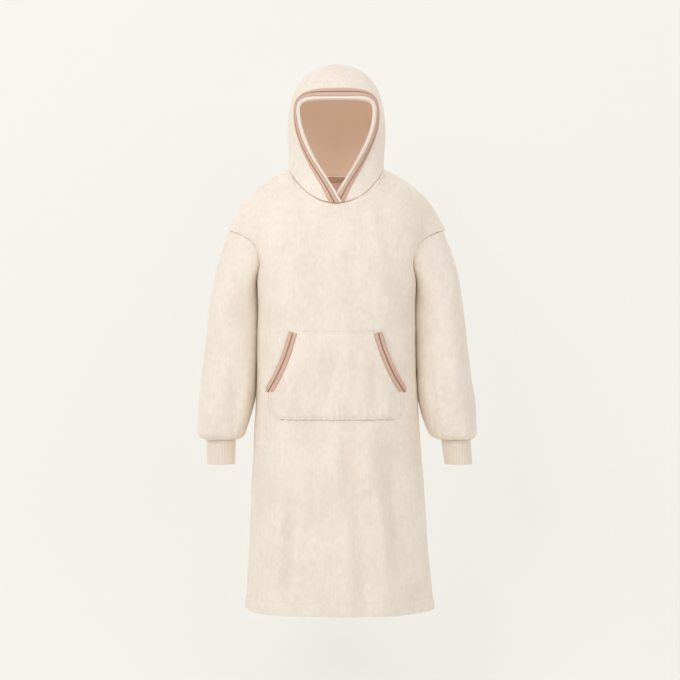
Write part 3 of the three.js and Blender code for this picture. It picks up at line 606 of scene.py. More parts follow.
@dataclass
class Panel:
    """One cut piece of cloth, dressed from a copy of its solid."""

    node: str
    cut: Cut
    materials: Sequence[Material]  # for the outer face, the inner face and the cut edges
    slot: Slot = Slot.FLEECE
    shapers: Sequence[Shaper] = ()
    tube: tuple[tuple[float, float], tuple[float, float]] | None = None  # middle and half sizes, if not its own
    edge_radius: float = 0.8 * MM
    levels: int = 2
    fine_outside: bool = True
    crumple: float = 0.8 * MM
    nap: float = 0.3 * MM
    meets: float = 0.28 * MM  # how far each cut edge reaches into its seam
    thickness: float = 0.0  # the cloth's, where mark_faces needs it
    calmed: Sequence[tuple[float, float, float]] = ()  # places whose sharp creases are eased, in metres
    calm_reach: float = 62 * MM
    calm_rounds: int = 14
    calm_spread: float = 1.3  # how many times farther the inner face is kept under the outer
    least_depth: float = 3 * MM  # how far the inner face stays under the outer where creases are eased

    def make(self) -> Object:
        """Build the piece, which rides on the root body and stands in for its solid."""
        bm = solid_copy(self.node)
        turns = mark_faces(bm, self.thickness)
        self._calm(bm, turns)
        self._close_seams(bm)
        bmesh.ops.bevel(
            bm,
            geom=turns,
            offset=self.edge_radius,
            offset_type="OFFSET",
            segments=2,
            profile=0.5,
            affect="EDGES",
            material=-1,
            clamp_overlap=True,
        )
        piece = object_from(f"{self.node}_cloth", bm, self.materials)
        smooth = piece.modifiers.new("smooth", "SUBSURF")
        smooth.levels = smooth.render_levels = self.levels
        apply_modifiers(piece)
        if self.fine_outside:
            self._finer(piece)
        self._shape(piece)
        finish_piece(piece, self.slot, self.node)
        return piece

    def _calm(self, bm: BMesh, turns: Sequence[BMEdge]) -> None:
        """Ease the creases near some places, without moving the cut edges, and face both sides alike there."""
        if not self.calmed:
            return
        fixed = {v for e in turns for v in e.verts}
        centres = [Vector(centre) for centre in self.calmed]
        for centre in centres:
            near = [v for v in bm.verts if v not in fixed and (v.co - centre).length < self.calm_reach]
            for _ in range(self.calm_rounds):
                bmesh.ops.smooth_vert(
                    bm, verts=near, factor=0.5, use_axis_x=True, use_axis_y=True, use_axis_z=True
                )
        surface = outer_face(bm)
        inner = {v for f in bm.faces if f.material_index == 1 for v in f.verts} - fixed
        for vert in (v for v in bm.verts if v in inner):
            if any((vert.co - centre).length < self.calm_spread * self.calm_reach for centre in centres):
                hit, normal, _, _ = surface.find_nearest(vert.co)
                depth = (hit - vert.co).dot(normal)
                vert.co -= normal * max(0.0, self.least_depth - depth)
                for face in vert.link_faces:
                    face.material_index = 2

    def _close_seams(self, bm: BMesh) -> None:
        """Push the cut edges out until they touch what they are sewn to."""
        pushed: dict[BMVert, Vector] = {}
        for face in (f for f in bm.faces if f.material_index == 2):
            for vert in face.verts:
                pushed[vert] = pushed.get(vert, Vector()) + face.normal
        for vert, way in pushed.items():
            vert.co += way.normalized() * self.meets

    def _finer(self, piece: Object) -> None:
        """Divide the outside once more, where the folds and the nap show."""
        bm = bmesh.new()
        bm.from_mesh(piece.data)
        outside = {e for f in bm.faces if f.material_index == 0 for e in f.edges}
        edges = [e for e in bm.edges if e in outside]
        bmesh.ops.subdivide_edges(bm, edges=edges, cuts=1, use_grid_fill=True)
        bm.to_mesh(piece.data)
        bm.free()

    def _shape(self, piece: Object) -> None:
        """Lay the folds in the cloth, then crumple it a little and raise its nap."""
        mesh = piece.data
        points = vectors_of(mesh)
        outward = self._outward(points)
        for shaper in self.shapers:
            points = points + outward * (shaper(points, outward) * MM)[:, None]
        if self.crumple:
            waves = grain(points, 70 * MM) + 0.5 * grain(points, 32 * MM)
            points = points + outward * (waves * self.crumple)[:, None]
        set_points(mesh, points)
        if self.nap:
            outside = np.zeros(len(mesh.vertices))
            for polygon in mesh.polygons:
                if polygon.material_index == 0:
                    outside[list(polygon.vertices)] = 1
            tufts = grain(points, 11 * MM) * outside * self.nap
            set_points(mesh, points + vectors_of(mesh, "normal") * tufts[:, None])
        mesh.shade_smooth()

    def _outward(self, points: np.ndarray) -> np.ndarray:
        """Find the level direction away from the middle of the tube of cloth, at each point."""
        low, high = points.min(0)[:2], points.max(0)[:2]
        middle, reach = self.tube or ((low + high) / 2, (high - low) / 2)
        away = np.zeros_like(points)
        away[:, :2] = (points[:, :2] - np.array(middle)) / np.array(reach) ** 2
        return away / np.maximum(np.linalg.norm(away, axis=1), 1e-9)[:, None]


@dataclass
class Stitches:
    """Rows of lockstitches: small rounded lengths of thread lying in the cloth."""

    name: str
    thread: Material
    length: float = 3.2 * MM
    pitch: float = 4.4 * MM
    thick: float = 0.85 * MM

    def sew(self, rows: Iterable[Sequence[Place]]) -> Object:
        """Sew along rows of places, and give all the stitches as one piece."""
        one = bmesh.new()
        bmesh.ops.create_uvsphere(one, u_segments=6, v_segments=4, radius=0.5)
        shape = bpy.data.meshes.new("stitch")
        one.to_mesh(shape)
        one.free()
        size = Matrix.Diagonal((self.thick, self.thick * 0.8, self.length, 1))
        bm = bmesh.new()
        for row in rows:
            for point, along, outward in self._places(row):
                sideways = outward.cross(along).normalized()
                upright = along.cross(sideways).normalized()
                turn = Matrix((sideways, upright, along)).transposed().to_4x4()
                placed = shape.copy()
                placed.transform(Matrix.Translation(point) @ turn @ size)
                bm.from_mesh(placed)
                bpy.data.meshes.remove(placed)
        bpy.data.meshes.remove(shape)
        piece = object_from(self.name, bm, [self.thread])
        finish_piece(piece, Slot.FLEECE)
        return piece

    def _places(self, row: Sequence[Place]) -> Iterator[tuple[Vector, Vector, Vector]]:
        """Space the stitches evenly along a row, each with its point, its way along and its way out."""
        points = [point for point, _ in row]
        count = max(1, int(length_of(points) / self.pitch))
        for k, share in walk(points, (n + 0.5 for n in range(count)), count):
            outward = row[k][1].lerp(row[k + 1][1], share).normalized()
            yield points[k].lerp(points[k + 1], share), (points[k + 1] - points[k]).normalized(), outward


# The garment's parts


@dataclass
class Body:
    """Front and back, hung from the shoulders, with the turned hem."""

    fleece: Material
    inner_painted_glow: Material
    thread: Material
    hem_top: float = -992 * MM
    tube: tuple[tuple[float, float], tuple[float, float]] = ((0.0, 0.0), (0.2, 0.15))
    neck_corners: tuple[tuple[float, float, float], ...] = ((0.104, -0.088, -0.036), (-0.104, -0.088, -0.036))
    front_folds: tuple[Fold, ...] = (
        # skirt, from the wearer's right to left
        Fold((-121, -690), (-143, -1045), 17, 7.6),
        Fold((-140, -610), (-170, -800), 15, -6.6),
        Fold((-96, -700), (-112, -1000), 14, -5.7),
        Fold((-47, -690), (-52, -880), 26, -8.5),
        Fold((-1, -600), (4, -760), 14, 5.7),
        Fold((24, -780), (30, -1040), 17, 5.7),
        Fold((72, -580), (74, -740), 24, 7.6),
        Fold((98, -740), (114, -940), 14, 8.5),
        Fold((128, -700), (152, -960), 13, -9.5),
        Fold((62, -820), (70, -1040), 17, -5.7),
        # chest and shoulders
        Fold((-168, -300), (-120, -150), 15, -3.5, 8),
        Fold((166, -300), (122, -160), 15, -3.5, -8),
        Fold((-150, -330), (-90, -250), 12, 2.7, 6),
        Fold((150, -330), (96, -250), 12, 2.7, -6),
        Fold((-60, -110), (-96, -240), 14, 2.4, 5),
        Fold((64, -110), (92, -250), 14, -2.4, -5),
        Fold((8, -120), (16, -330), 20, 2.4),
    )
    back_folds: tuple[Fold, ...] = (
        Fold((-120, -560), (-140, -1045), 17, 5.4),
        Fold((-60, -480), (-72, -1000), 18, -5.4),
        Fold((6, -420), (0, -1045), 18, 4.7),
        Fold((66, -520), (76, -980), 16, -5.4),
        Fold((124, -600), (146, -1045), 15, 5.4),
        Fold((-168, -300), (-110, -120), 15, -3.5, 8),
        Fold((166, -300), (112, -120), 15, -3.5, -8),
        Fold((0, -40), (0, -200), 22, -3.0),
        Fold((-70, -60), (-90, -260), 16, 2.7),
        Fold((72, -60), (94, -280), 16, 2.7),
    )

    def make(self) -> Object:
        """Dress both panels and sew the hem.

        Returns:
            The dressed front, for the pocket.
        """
        front = self._panel("front", Cut(0.66, 1.08, 0.583), self.front_folds, -1)
        self._panel("back", Cut(0.63, 1.11, 0.570), self.back_folds, 1)
        return front

    def _panel(self, node: str, cut: Cut, folds: Sequence[Fold], facing: int) -> Object:
        """Dress the panel that faces -1 or 1 in y, and sew its hem."""
        cloth = [self.fleece, self.inner_painted_glow, self.fleece]
        piece = Panel(
            node,
            cut,
            cloth,
            shapers=[folds_facing(folds, facing)],
            tube=self.tube,
            thickness=CLOTH,
            calmed=self.neck_corners,
        ).make()
        row = self._hem_row(tree_of(piece), facing)
        cut.declare(piece, [Stitches(f"{node}_hem_stitches", self.thread).sew([row])])
        return piece

    def _hem_row(self, surface: BVHTree, facing: int) -> list[Place]:
        """Find the places of the hem's stitches, from one side seam to the other."""
        row = []
        for degrees in range(-88, 89, 2):
            angle = math.radians(degrees)
            outward = Vector((math.sin(angle), facing * math.cos(angle), 0))
            hit, normal, _, _ = surface.ray_cast(Vector((0.0, 0.0, self.hem_top)) + outward * 0.6, -outward)
            if hit is not None:
                row.append((hit - normal * 0.1 * MM, normal))
        return row


@dataclass
class Sleeves:
    """The two full sleeves and their rib cuffs."""

    fleece: Material
    inner_painted_glow: Material
    knit: Material
    middle: tuple[float, float] = (0.256, -0.006)
    cuff_y: float = -0.019
    cuff_x: tuple[float, float] = (0.288, 0.276)  # left and right
    radius: float = 66.0
    pleats: int = 19
    ribs: int = 62
    rib_height: float = 0.55 * MM
    left_folds: tuple[Fold, ...] = (
        Fold((60, -180), (84, -330), 14, 3.0, 6),
        Fold((100, -300), (88, -470), 12, -3.0, -6),
        Fold((74, -430), (84, -600), 13, 3.5),
        Fold((118, -460), (108, -600), 11, -3.5),
        Fold((40, -400), (50, -600), 14, -3.0),
        Fold((250, -300), (262, -600), 14, -4.0),
        Fold((290, -360), (282, -600), 13, 3.5),
        Fold((330, -420), (338, -600), 12, -3.0),
        Fold((20, -480), (12, -612), 12, 2.5),
        Fold((180, -230), (180, -600), 50, 8.5),
    )
    right_folds: tuple[Fold, ...] = (
        Fold((70, -190), (92, -330), 14, 2.6, 6),
        Fold((102, -470), (108, -606), 10, -5.0),
        Fold((84, -450), (88, -600), 11, 4.0),
        Fold((60, -380), (64, -590), 13, -3.0),
        Fold((30, -420), (36, -606), 12, 3.0),
        Fold((128, -440), (124, -600), 11, 3.0),
        Fold((248, -300), (256, -600), 14, -4.0),
        Fold((284, -380), (290, -600), 13, 3.5),
        Fold((326, -430), (332, -600), 12, -3.0),
        Fold((180, -230), (180, -600), 50, 8.5),
    )

    def make(self) -> None:
        """Dress both sleeves and cuffs."""
        for side, folds in zip(Side, (self.left_folds, self.right_folds)):
            middle = (side.value * self.middle[0], self.middle[1])
            shapers = [folds_round(folds, middle, self.radius, side.value), self._gathers(side)]
            cut = Cut(0.46, 0.52, 0.19, hangs_from=("front", "back"))
            cloth = [self.fleece, self.inner_painted_glow, self.fleece]
            cut.declare(Panel(f"sleeve_{side.word}", cut, cloth, shapers=shapers, thickness=CLOTH).make())
            self._cuff(side)

    def _gathers(self, side: Side) -> Shaper:
        """Crowd small pleats into the seam above a cuff."""
        middle = side.value * self.cuff_x[0 if side is Side.LEFT else 1]

        def shaper(points: np.ndarray, outward: np.ndarray) -> np.ndarray:
            """Ripple the cloth round the cuff, more strongly towards it."""
            angle = np.arctan2(-(points[:, 1] - self.cuff_y), side.value * (points[:, 0] - middle))
            near = soft(points[:, 2] / MM, -575, -616)
            uneven = 1 + 0.35 * np.sin(3 * angle + 1.2 * side.value)
            return 1.5 * near * uneven * np.cos(self.pleats * angle + 1.5 * np.sin(2 * angle))

        return shaper

    def _cuff(self, side: Side) -> None:
        """Dress a cuff and raise its ribs."""
        cut = Cut(0.23, 0.058, 0.0132, Held.STRETCHED, (f"sleeve_{side.word}",))
        panel = Panel(f"cuff_{side.word}", cut, [self.knit] * 3, Slot.KNIT, levels=3, crumple=0.0, nap=0.0)
        piece = panel.make()
        mesh = piece.data
        points = vectors_of(mesh)
        outward = points - points.mean(0)
        wave = 0.5 + 0.5 * np.cos(self.ribs * np.arctan2(outward[:, 1], outward[:, 0]))
        outward[:, 2] = 0
        outward /= np.linalg.norm(outward, axis=1)[:, None]
        set_points(mesh, points + outward * ((wave - 0.5) * 2 * self.rib_height)[:, None])
        # the rib wave also tells the knit where to darken its furrows with painted shade
        mesh.attributes.new("rib", "FLOAT", "POINT").data.foreach_set("value", wave.astype(np.float32))
        mesh.shade_smooth()
        cut.declare(piece)


@dataclass
class Tape:
    """A woven tape laid on cloth, a little raised along its middle."""

    node: str
    braid: Material
    thick: float = 2.2 * MM
    step: float = 1.5 * MM
    across: int = 20
    rib: float = 0.05  # half the sunk rib's share of the width
    rounded: float = 0.06  # each rounded edge's share of the width

    def lay(self, place: Callable[[float, float], Place], length: float) -> Object:
        """Lay the tape.

        Args:
            place: gives the cloth's point and outward direction at a share along and a share across.
            length: the tape's length in metres.

        Returns:
            The tape, with a UV map in metres and its weave in relief.
        """
        along = max(8, round(length / self.step))
        bm = bmesh.new()
        bmesh.ops.create_grid(bm, x_segments=along, y_segments=self.across, size=0.5, calc_uvs=False)
        uv = bm.loops.layers.uv.new("tape")
        for face in bm.faces:
            for loop in face.loops:
                x, y, _ = loop.vert.co
                loop[uv].uv = ((x + 0.5) * length, (y + 0.5) * BRAID_WIDTH)
        for vert in bm.verts:
            t, s = clamp(vert.co.x + 0.5), clamp(vert.co.y + 0.5)
            point, outward = place(t, s)
            vert.co = point + outward * (0.2 * MM + self.thick * self._profile(t * length, s))
        bmesh.ops.recalc_face_normals(bm, faces=bm.faces)
        middle, outward = place(0.5, 0.5)
        nearest = min(bm.faces, key=lambda f: (f.calc_center_median() - middle).length)
        if nearest.normal.dot(outward) < 0:
            bmesh.ops.reverse_faces(bm, faces=bm.faces)
        bmesh.ops.solidify(bm, geom=bm.faces[:], thickness=self.thick * 0.6)
        piece = object_from(f"{self.node}_braid", bm, [self.braid])
        finish_piece(piece, Slot.BRAID, self.node)
        return piece

    def _profile(self, along: float, across: float) -> float:
        """Shape the weave: a low roof with rounded edges, a sunk rib, and a herringbone of raised yarns."""
        from_middle = abs(across - 0.5)
        roof = 1 - 1.3 * from_middle
        edge = math.sqrt(min(1.0, min(across, 1 - across) / self.rounded))
        yarn = math.sin(math.tau * (along + from_middle * BRAID_WIDTH) / BRAID_REPEAT)
        woven = soft(from_middle, self.rib, 2 * self.rib) * soft(from_middle, 0.48, 0.42)
        return roof * (0.3 + 0.7 * edge) - 0.35 * bell(from_middle / self.rib) + 0.1 * woven * yarn


@dataclass
class Hood:
    """The two hood panels, the tape round the face and the band on the back of the neck."""

    fleece: Material
    inner_painted_glow: Material
    braid: Material
    twill: Material
    tube: tuple[tuple[float, float], tuple[float, float]] = ((0.0, 0.01), (0.118, 0.13))
    radius: float = 115
    guides: int = 160
    seam_share: float = 0.012  # half the stretch of tape that bridges the middle seam
    # Where the tape sits farther back from the face: its place along, its spread, and the share of its width.
    set_back: tuple[tuple[float, float, float], ...] = ((0.37, 0.05, 0.2), (0.64, 0.06, 0.36))
    folds: tuple[Fold, ...] = (
        Fold((100, 20), (62, 150), 13, 2.2, 6),
        Fold((58, 0), (30, 120), 13, -2.4, -5),
        Fold((20, 6), (6, 140), 14, 2.2),
        Fold((330, 30), (340, 180), 16, -2.4),
        Fold((300, 40), (310, 170), 15, 2.2),
    )

    def make(self) -> None:
        """Dress the panels, lay the tape on them, and dress the neck band."""
        cut = Cut(0.33, 0.38, 0.094, hangs_from=("front", "back"))
        cloth = [self.fleece, self.inner_painted_glow, self.fleece]
        halves = {}
        for side in Side:
            shapers = [folds_round(self.folds, self.tube[0], self.radius, side.value)]
            panel = Panel(f"hood_{side.word}", cut, cloth, shapers=shapers, tube=self.tube, crumple=0.6 * MM)
            halves[side] = panel.make()
        cut.declare(halves[Side.LEFT], [self._tape(halves)])
        cut.declare(halves[Side.RIGHT])
        band_cut = Cut(0.245, 0.017, 0.0035, Held.LAID, ("back",))
        band = Panel(
            "neck_tape",
            band_cut,
            [self.twill] * 3,
            Slot.TWILL,
            edge_radius=0.3 * MM,
            fine_outside=False,
            crumple=0.0,
            nap=0.0,
        )
        band_cut.declare(band.make())

    def _edge_chains(self) -> list[list[Vector]]:
        """Read the tape's two long edges from its solid.

        Returns:
            The edge away from the face and the edge beside it, both from the wearer's right to the left.
        """
        bm = solid_copy("hood_tape")
        turns = mark_faces(bm)
        hood = bmesh.new()
        for side in Side:
            hood.from_mesh(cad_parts[f"hood_{side.word}"].data)
        ground = BVHTree.FromBMesh(hood)
        hood.free()
        heights = []
        for layer in (0, 1):
            centres = [f.calc_center_median() for f in bm.faces if f.material_index == layer]
            heights.append(sum(ground.find_nearest(c)[3] for c in centres) / len(centres))
        top = heights.index(max(heights))
        near: dict[BMVert, list[BMVert]] = {}
        for edge in turns:
            if sum(f.material_index == top for f in edge.link_faces) == 1:
                a, b = edge.verts
                near.setdefault(a, []).append(b)
                near.setdefault(b, []).append(a)
        start = next(iter(near))
        loop, before = [start], None
        while True:
            onward = [v for v in near[loop[-1]] if v is not before]
            before = loop[-1]
            if not onward or onward[0] is start:
                break
            loop.append(onward[0])
        points = [v.co.copy() for v in loop]
        bm.free()
        count = len(points)
        turned = [(points[k] - points[k - 1]).angle(points[(k + 1) % count] - points[k]) for k in range(count)]
        corners = sorted(sorted(range(count), key=turned.__getitem__)[-4:])
        sides = []
        for a, b in zip(corners, [*corners[1:], corners[0] + count]):
            sides.append([points[k % count] for k in range(a, b + 1)])
        long = sorted(sides, key=length_of)[-2:]
        long.sort(key=lambda chain: -sum(p.y for p in chain) / len(chain))
        for chain in long:
            if chain[0].x >= chain[-1].x:
                chain.reverse()
            # At the foot the two sides cross, so each runs from the end that joins the wearer's right panel.
            if chain[len(chain) // 4].x > 0:
                chain.reverse()
        return long

    def _tape(self, halves: dict[Side, Object]) -> Object:
        """Lay the tape on the dressed panels, each half on its own panel."""
        outer, inner = (even_chain(chain, self.guides + 1) for chain in self._edge_chains())
        ground = {side: tree_of(half) for side, half in halves.items()}

        def under(along: float, across: float) -> Place:
            """Find the hood under one place on the tape."""
            at = along * self.guides
            k = min(self.guides - 1, int(at))
            a = outer[k].lerp(outer[k + 1], at - k)
            b = inner[k].lerp(inner[k + 1], at - k)
            back = sum(reach * bell((along - centre) / spread) for centre, spread, reach in self.set_back)
            side = Side.RIGHT if along < 0.5 else Side.LEFT
            hit, normal, _, _ = ground[side].find_nearest(a.lerp(b, across - back))
            return hit, normal

        def place(along: float, across: float) -> Place:
            """Bridge the middle seam, where the cloth under the tape dips."""
            off = (along - 0.5) / self.seam_share
            if abs(off) >= 1:
                return under(along, across)
            first, second = under(0.5 - self.seam_share, across), under(0.5 + self.seam_share, across)
            share = (off + 1) / 2
            return first[0].lerp(second[0], share), first[1].lerp(second[1], share).normalized()

        return Tape("hood_tape", self.braid).lay(place, length_of(outer))


@dataclass
class Pocket:
    """The front pocket, open at two slanting edges that carry a tape. Its sizes are in millimetres."""

    fleece: Material
    braid: Material
    thread: Material
    top: float = -364.0
    bottom: float = -569.0
    top_half: float = 109.0
    half: float = 164.5
    side_half: float = 158.5  # the half width below the openings
    slant_ends: float = -494.0
    slant_bend: float = 9.0
    corner: float = 34.0
    thick: float = 3.2
    puff: float = 5.5
    pucker: float = 1.3
    pucker_pitch: float = 16.0
    round_edge: float = 2.8
    groove: float = 1.5  # how deep the stitches sink
    groove_half: float = 2.6
    lean: float = -2.5  # how far its top lies to the wearer's right
    tape_from: float = 0.8  # how far the tape lies inside the edge
    tape_width: float = 20.5
    inset: float = 5.0  # how far the stitches lie inside the edge
    slant_share: float = 0.87  # turns a level distance into one square to the slanting edge
    rows: int = 84
    columns: int = 120
    corner_rows: float = 0.15
    cut: Cut = Cut(0.32, 0.21, 0.0605, hangs_from=("front",))
    folds: tuple[Fold, ...] = (
        Fold((-43, -385), (-45, -505), 14, 3.4),
        Fold((-107, -430), (-110, -555), 11, 4.0),
        Fold((34, -395), (30, -530), 16, 3.2),
        Fold((-82, -405), (-84, -566), 10, -4.6),
        Fold((-128, -480), (-126, -566), 9, -3.4),
        Fold((8, -395), (-27, -560), 12, -4.0),
        Fold((91, -440), (93, -566), 12, -4.6),
        Fold((120, -480), (124, -560), 12, 2.8),
        Fold((62, -400), (66, -540), 14, 2.2),
    )

    def make(self, front: Object) -> None:
        """Lay the pocket on the dressed front, sew it, and lay its tapes."""
        ground = tree_of(front)
        bm = bmesh.new()
        bmesh.ops.create_grid(bm, x_segments=self.columns, y_segments=self.rows, size=0.5, calc_uvs=False)
        for vert in bm.verts:
            z = self._row_height(clamp(vert.co.y + 0.5))
            u = 2 * vert.co.x
            x = (0.45 * u + 0.55 * math.sin(u * math.pi / 2)) * self._half_width(z)
            leaning = x + self._lean_at(z)
            base = self._hit(ground, leaning, z)[0]
            off = self._lift(x, z) + self.thick - self._sunk(x, z)
            vert.co = Vector((leaning * MM, base.y - off * MM, z * MM))
        bmesh.ops.recalc_face_normals(bm, faces=bm.faces)
        bm.faces.ensure_lookup_table()
        if bm.faces[0].normal.y > 0:
            bmesh.ops.reverse_faces(bm, faces=bm.faces)
        piece = object_from("pocket_cloth", bm, [self.fleece])
        wall = piece.modifiers.new("cloth", "SOLIDIFY")
        wall.thickness = self.thick * 0.8 * MM
        wall.offset = -1
        apply_modifiers(piece)
        piece.data.shade_smooth()
        finish_piece(piece, Slot.FLEECE, "pocket")
        surface = tree_of(piece)
        tapes = [self._tape(surface, side) for side in Side]
        stitches = Stitches("pocket_stitches", self.thread).sew(self._stitch_rows(surface))
        self.cut.declare(piece, [*tapes, stitches])

    def _slant(self, t: float) -> tuple[float, float]:
        """Give x and z at a share of the way down the slanting edge, on the wearer's left."""
        x1 = (self.top_half + self.half) / 2 - self.slant_bend
        z1 = (self.top + self.slant_ends) / 2 - self.slant_bend
        first, second, third = (1 - t) ** 2, 2 * t * (1 - t), t * t
        x = first * self.top_half + second * x1 + third * self.half
        return x, first * self.top + second * z1 + third * self.slant_ends

    def _half_width(self, z: float) -> float:
        """Give the pocket's half width at a height."""
        if z < self.bottom + self.corner:
            down = min(1.0, (self.bottom + self.corner - z) / self.corner)
            return self.side_half - self.corner + self.corner * math.sqrt(1 - down * down)
        if z < self.slant_ends:
            wider = soft(z, self.slant_ends - 18, self.slant_ends)
            return self.side_half + (self.half - self.side_half) * wider
        low, high = 0.0, 1.0
        for _ in range(24):
            t = (low + high) / 2
            low, high = (t, high) if self._slant(t)[1] > z else (low, t)
        return self._slant((low + high) / 2)[0]

    def _row_height(self, v: float) -> float:
        """Space the rows closely round the bottom corners and towards the top."""
        corner_end = self.bottom + self.corner
        if v < self.corner_rows:
            return corner_end - self.corner * math.cos(v / self.corner_rows * math.pi / 2)
        share = (v - self.corner_rows) / (1 - self.corner_rows)
        return corner_end + (0.6 * share + 0.4 * math.sin(share * math.pi / 2)) * (self.top - corner_end)

    def _lean_at(self, z: float) -> float:
        """Give the sideways shift at a height."""
        return self.lean * (z - self.bottom) / (self.top - self.bottom)

    def _lift(self, x: float, z: float) -> float:
        """Work out how far the cloth's inner face stands off the front."""
        up = clamp((z - self.bottom) / (self.top - self.bottom))
        in_from_side = self._half_width(z) - abs(x)
        open_side = soft(z, self.slant_ends - 6, self.slant_ends + 34)
        sewn = soft(in_from_side, 0, 42)
        bag = math.sin(math.pi * up) ** 0.6 * (sewn + (1 - sewn) * open_side)
        fold = sum(f.raise_by(x, z) for f in self.folds)
        settled = soft(z, self.bottom, self.bottom + 24) * soft(in_from_side, 0, 30)
        wave = math.sin(x * math.tau / self.pucker_pitch + 1.1 * math.sin(x / 23))
        pucker = self.pucker * wave * soft(z, self.bottom + 46, self.bottom + 6)
        return max(0.3, 0.9 + self.puff * bag + fold * settled + pucker * (1 - 0.4 * settled))

    def _sunk(self, x: float, z: float) -> float:
        """Work out how far the outer face sinks at the stitches and rounds off at the edge."""
        in_from_side = (self._half_width(z) - abs(x)) * (self.slant_share if z > self.slant_ends else 1.0)
        open_side = soft(z, self.slant_ends - 4, self.slant_ends + 4)
        level = min(z - self.bottom, self.top - z)
        across = bell((level - self.inset) / self.groove_half)
        down = bell((in_from_side - self.inset) / self.groove_half) * (1 - open_side)
        edge = clamp(min(level, in_from_side) / self.round_edge)
        return self.groove * max(across, down) + self.round_edge * (1 - math.sqrt(1 - (1 - edge) ** 2))

    def _hit(self, surface: BVHTree, x: float, z: float) -> Place:
        """Find the cloth in front of a place, and which way it faces."""
        hit, normal, _, _ = surface.ray_cast(Vector((x * MM, -0.6, z * MM)), Vector((0, 1, 0)))
        if hit is None:
            hit, normal, _, _ = surface.find_nearest(Vector((x * MM, -0.15, z * MM)))
        return hit, normal if normal.y < 0 else -normal

    def _tape(self, surface: BVHTree, side: Side) -> Object:
        """Lay one tape beside its slanting edge, with its lower end cut to the pocket's side."""

        def place(along: float, across: float) -> Place:
            """Find the pocket under one place on the tape."""
            along *= 1 + 0.055 * bell((across - 0.35) / 0.3)
            x, z = self._slant(along)
            ahead, behind = self._slant(along + 0.01), self._slant(along - 0.01)
            way = Vector((ahead[0] - behind[0], ahead[1] - behind[1])).normalized()
            inside = self.tape_from + across * self.tape_width
            x, z = x + inside * way.y, min(z - inside * way.x, self.top - 1.2)
            under = min(x, self._half_width(z) - self.round_edge * 0.5)
            leaning = self._lean_at(z)
            hit, normal = self._hit(surface, side.value * under + leaning, z)
            return Vector(((side.value * x + leaning) * MM, hit.y, hit.z)), normal

        chain = [Vector((*self._slant(k / 40), 0)) for k in range(41)]
        tape = Tape(f"pocket_tape_{side.word}", self.braid, thick=2.0 * MM, step=1.3 * MM)
        return tape.lay(place, length_of(chain) * MM)

    def _stitch_rows(self, surface: BVHTree) -> list[list[Place]]:
        """Find the rows of stitches: along the top, and round the sides and bottom."""
        reach = int(self.top_half - self.tape_from - self.tape_width)
        top = [(x, self.top - self.inset) for x in range(-reach, reach + 1, 4)]
        heights = range(int(self.slant_ends) - 12, int(self.bottom + self.corner), -4)
        half = [(self.side_half - self.inset, z) for z in heights]
        bend = self.corner - self.inset
        for degrees in range(0, 91, 10):
            angle = math.radians(degrees)
            x = self.side_half - self.corner + bend * math.cos(angle)
            half.append((x, self.bottom + self.corner - bend * math.sin(angle)))
        flat_end = int(self.side_half - self.corner) - 2
        bottom = [(x, self.bottom + self.inset) for x in range(flat_end, -flat_end - 1, -4)]
        below = [*half, *bottom, *[(-x, z) for x, z in reversed(half)]]
        rows = []
        for line in (top, below):
            places = [self._hit(surface, x + self._lean_at(z), z) for x, z in line]
            rows.append([(hit + normal * 0.1 * MM, normal) for hit, normal in places])
        return rows


# Studio


@dataclass(frozen=True)
class Lamp:
    """A square soft box: where it hangs and points, its side in metres and its power in watts."""

    name: str
    at: tuple[float, float, float]
    aim: tuple[float, float, float]
    size: float
    power: float

    def hang(self) -> None:
        """Add the lamp to the scene."""
        data = bpy.data.lights.new(self.name, "AREA")
        data.shape = "SQUARE"
        data.size = self.size
        data.energy = self.power
        lamp = bpy.data.objects.new(self.name, data)
        lamp.location = self.at
        lamp.rotation_euler = (Vector(self.aim) - Vector(self.at)).to_track_quat("-Z", "Y").to_euler()
        bpy.context.scene.collection.objects.link(lamp)


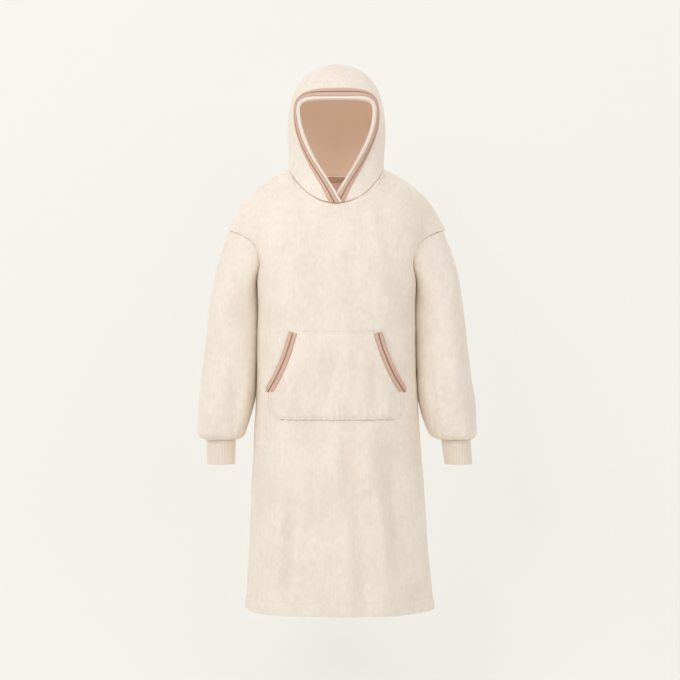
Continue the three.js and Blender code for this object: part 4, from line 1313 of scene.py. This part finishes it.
@dataclass
class Studio:
    """A pale sweep behind the garment, soft light from the upper left, and the photograph's camera."""

    distance: float = 4.0
    seen_width: float = 1.632  # how much the photograph takes in at the garment's middle
    eye: tuple[float, float] = (0.0084, -0.384)
    wall_at: float = 0.42
    floor_at: float = -1.36
    bend: float = 0.6  # the radius between floor and wall
    floor_depth: float = 3.2
    wall_height: float = 3.2
    width: float = 9.0
    paper: str = "#8c8b88"  # dark paper lit from within, so that only a soft shadow falls on it
    glow: str = "#f4f2ed"
    glow_strength: float = 0.72
    daylight: str = "#f7f7f7"
    daylight_strength: float = 0.46
    lamps: tuple[Lamp, ...] = (
        Lamp("key", (-1.8, -2.6, 1.5), (0, 0, 0), 2.0, 40),
        Lamp("fill", (1.8, -2.8, 1.3), (0, 0, -0.1), 2.0, 30),
        Lamp("side", (-3.2, -1.0, 0.9), (0, 0, -0.2), 1.6, 16),
        Lamp("above", (0.4, -1.6, 2.6), (0, 0, -0.1), 2.0, 9),
        Lamp("behind", (0.6, 3.4, 1.6), (0, 0, -0.4), 2.6, 40),
    )

    def make(self) -> None:
        """Set up the camera, the lights and the sweep."""
        scene = bpy.context.scene
        data = bpy.data.cameras.new("camera")
        data.sensor_width = 36.0
        data.lens = data.sensor_width * self.distance / self.seen_width
        camera = bpy.data.objects.new("camera", data)
        camera.location = (self.eye[0], -self.distance, self.eye[1])
        camera.rotation_euler = (math.radians(90), 0, 0)
        scene.collection.objects.link(camera)
        scene.camera = camera
        for lamp in self.lamps:
            lamp.hang()
        world = bpy.data.worlds.new("studio")
        world.use_nodes = True
        background = world.node_tree.nodes["Background"]
        sky = {"Color": linear(self.daylight), "Strength": self.daylight_strength}
        plug(world.node_tree, background, sky)
        scene.world = world
        scene.view_settings.view_transform = "Standard"
        self._sweep()

    def _profile(self, along: float) -> tuple[float, float]:
        """Give the sweep's y and z at a length along it, from the front of its floor."""
        turn_length = self.bend * math.pi / 2
        if along < self.floor_depth:
            return self.wall_at - self.bend - self.floor_depth + along, self.floor_at
        if along < self.floor_depth + turn_length:
            angle = (along - self.floor_depth) / self.bend
            y = self.wall_at - self.bend + self.bend * math.sin(angle)
            return y, self.floor_at + self.bend - self.bend * math.cos(angle)
        return self.wall_at, self.floor_at + self.bend + along - self.floor_depth - turn_length

    def _sweep(self) -> None:
        """Bend one sheet of paper from the floor up behind the garment; it isn't seen from behind."""
        bm = bmesh.new()
        bmesh.ops.create_grid(bm, x_segments=2, y_segments=60, size=0.5, calc_uvs=False)
        total = self.floor_depth + self.bend * math.pi / 2 + self.wall_height
        for vert in bm.verts:
            vert.co = (vert.co.x * self.width, *self._profile((vert.co.y + 0.5) * total))
        bmesh.ops.recalc_face_normals(bm, faces=bm.faces)
        bm.faces.ensure_lookup_table()
        if bm.faces[0].normal.z < 0:
            bmesh.ops.reverse_faces(bm, faces=bm.faces)
        material, tree, shader = new_material("backdrop_paper")
        plug(tree, shader, {"Base Color": linear(self.paper), "Roughness": 1.0, "Specular IOR Level": 0.0})
        plug(tree, shader, {"Emission Color": linear(self.glow), "Emission Strength": self.glow_strength})
        clear = add_node(tree, "ShaderNodeBsdfTransparent")
        behind = add_node(tree, "ShaderNodeNewGeometry").outputs["Backfacing"]
        mix = add_node(tree, "ShaderNodeMixShader", {0: behind, 1: shader, 2: clear})
        plug(tree, tree.nodes["Material Output"], {"Surface": mix})
        sweep = object_from("backdrop", bm, [material])
        sweep.visible_shadow = False
        sweep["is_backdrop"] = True


def write_sizes() -> None:
    """Gather the boxes of the solids and of the dressed garment; they are not kept."""
    boxes = {"cad": CAD_BOX, "visual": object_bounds()}
    {name: [list(corner) for corner in box] for name, box in boxes.items()}


def main() -> None:
    """Set up the studio, then build the garment part by part."""
    logging.basicConfig(level=logging.INFO, format="%(message)s")
    Studio().make()
    fleece = PlushFleece().make()
    inner_painted_glow = FleeceInnerPaintedGlow().make()
    thread = SewingThread().make()
    braid = WovenBraid().make()
    front = Body(fleece, inner_painted_glow, thread).make()
    Sleeves(fleece, inner_painted_glow, RibKnit().make()).make()
    Hood(fleece, inner_painted_glow, braid, CottonTwill().make()).make()
    Pocket(fleece, braid, thread).make(front)
    write_sizes()


if __name__ == "__main__":
    main()
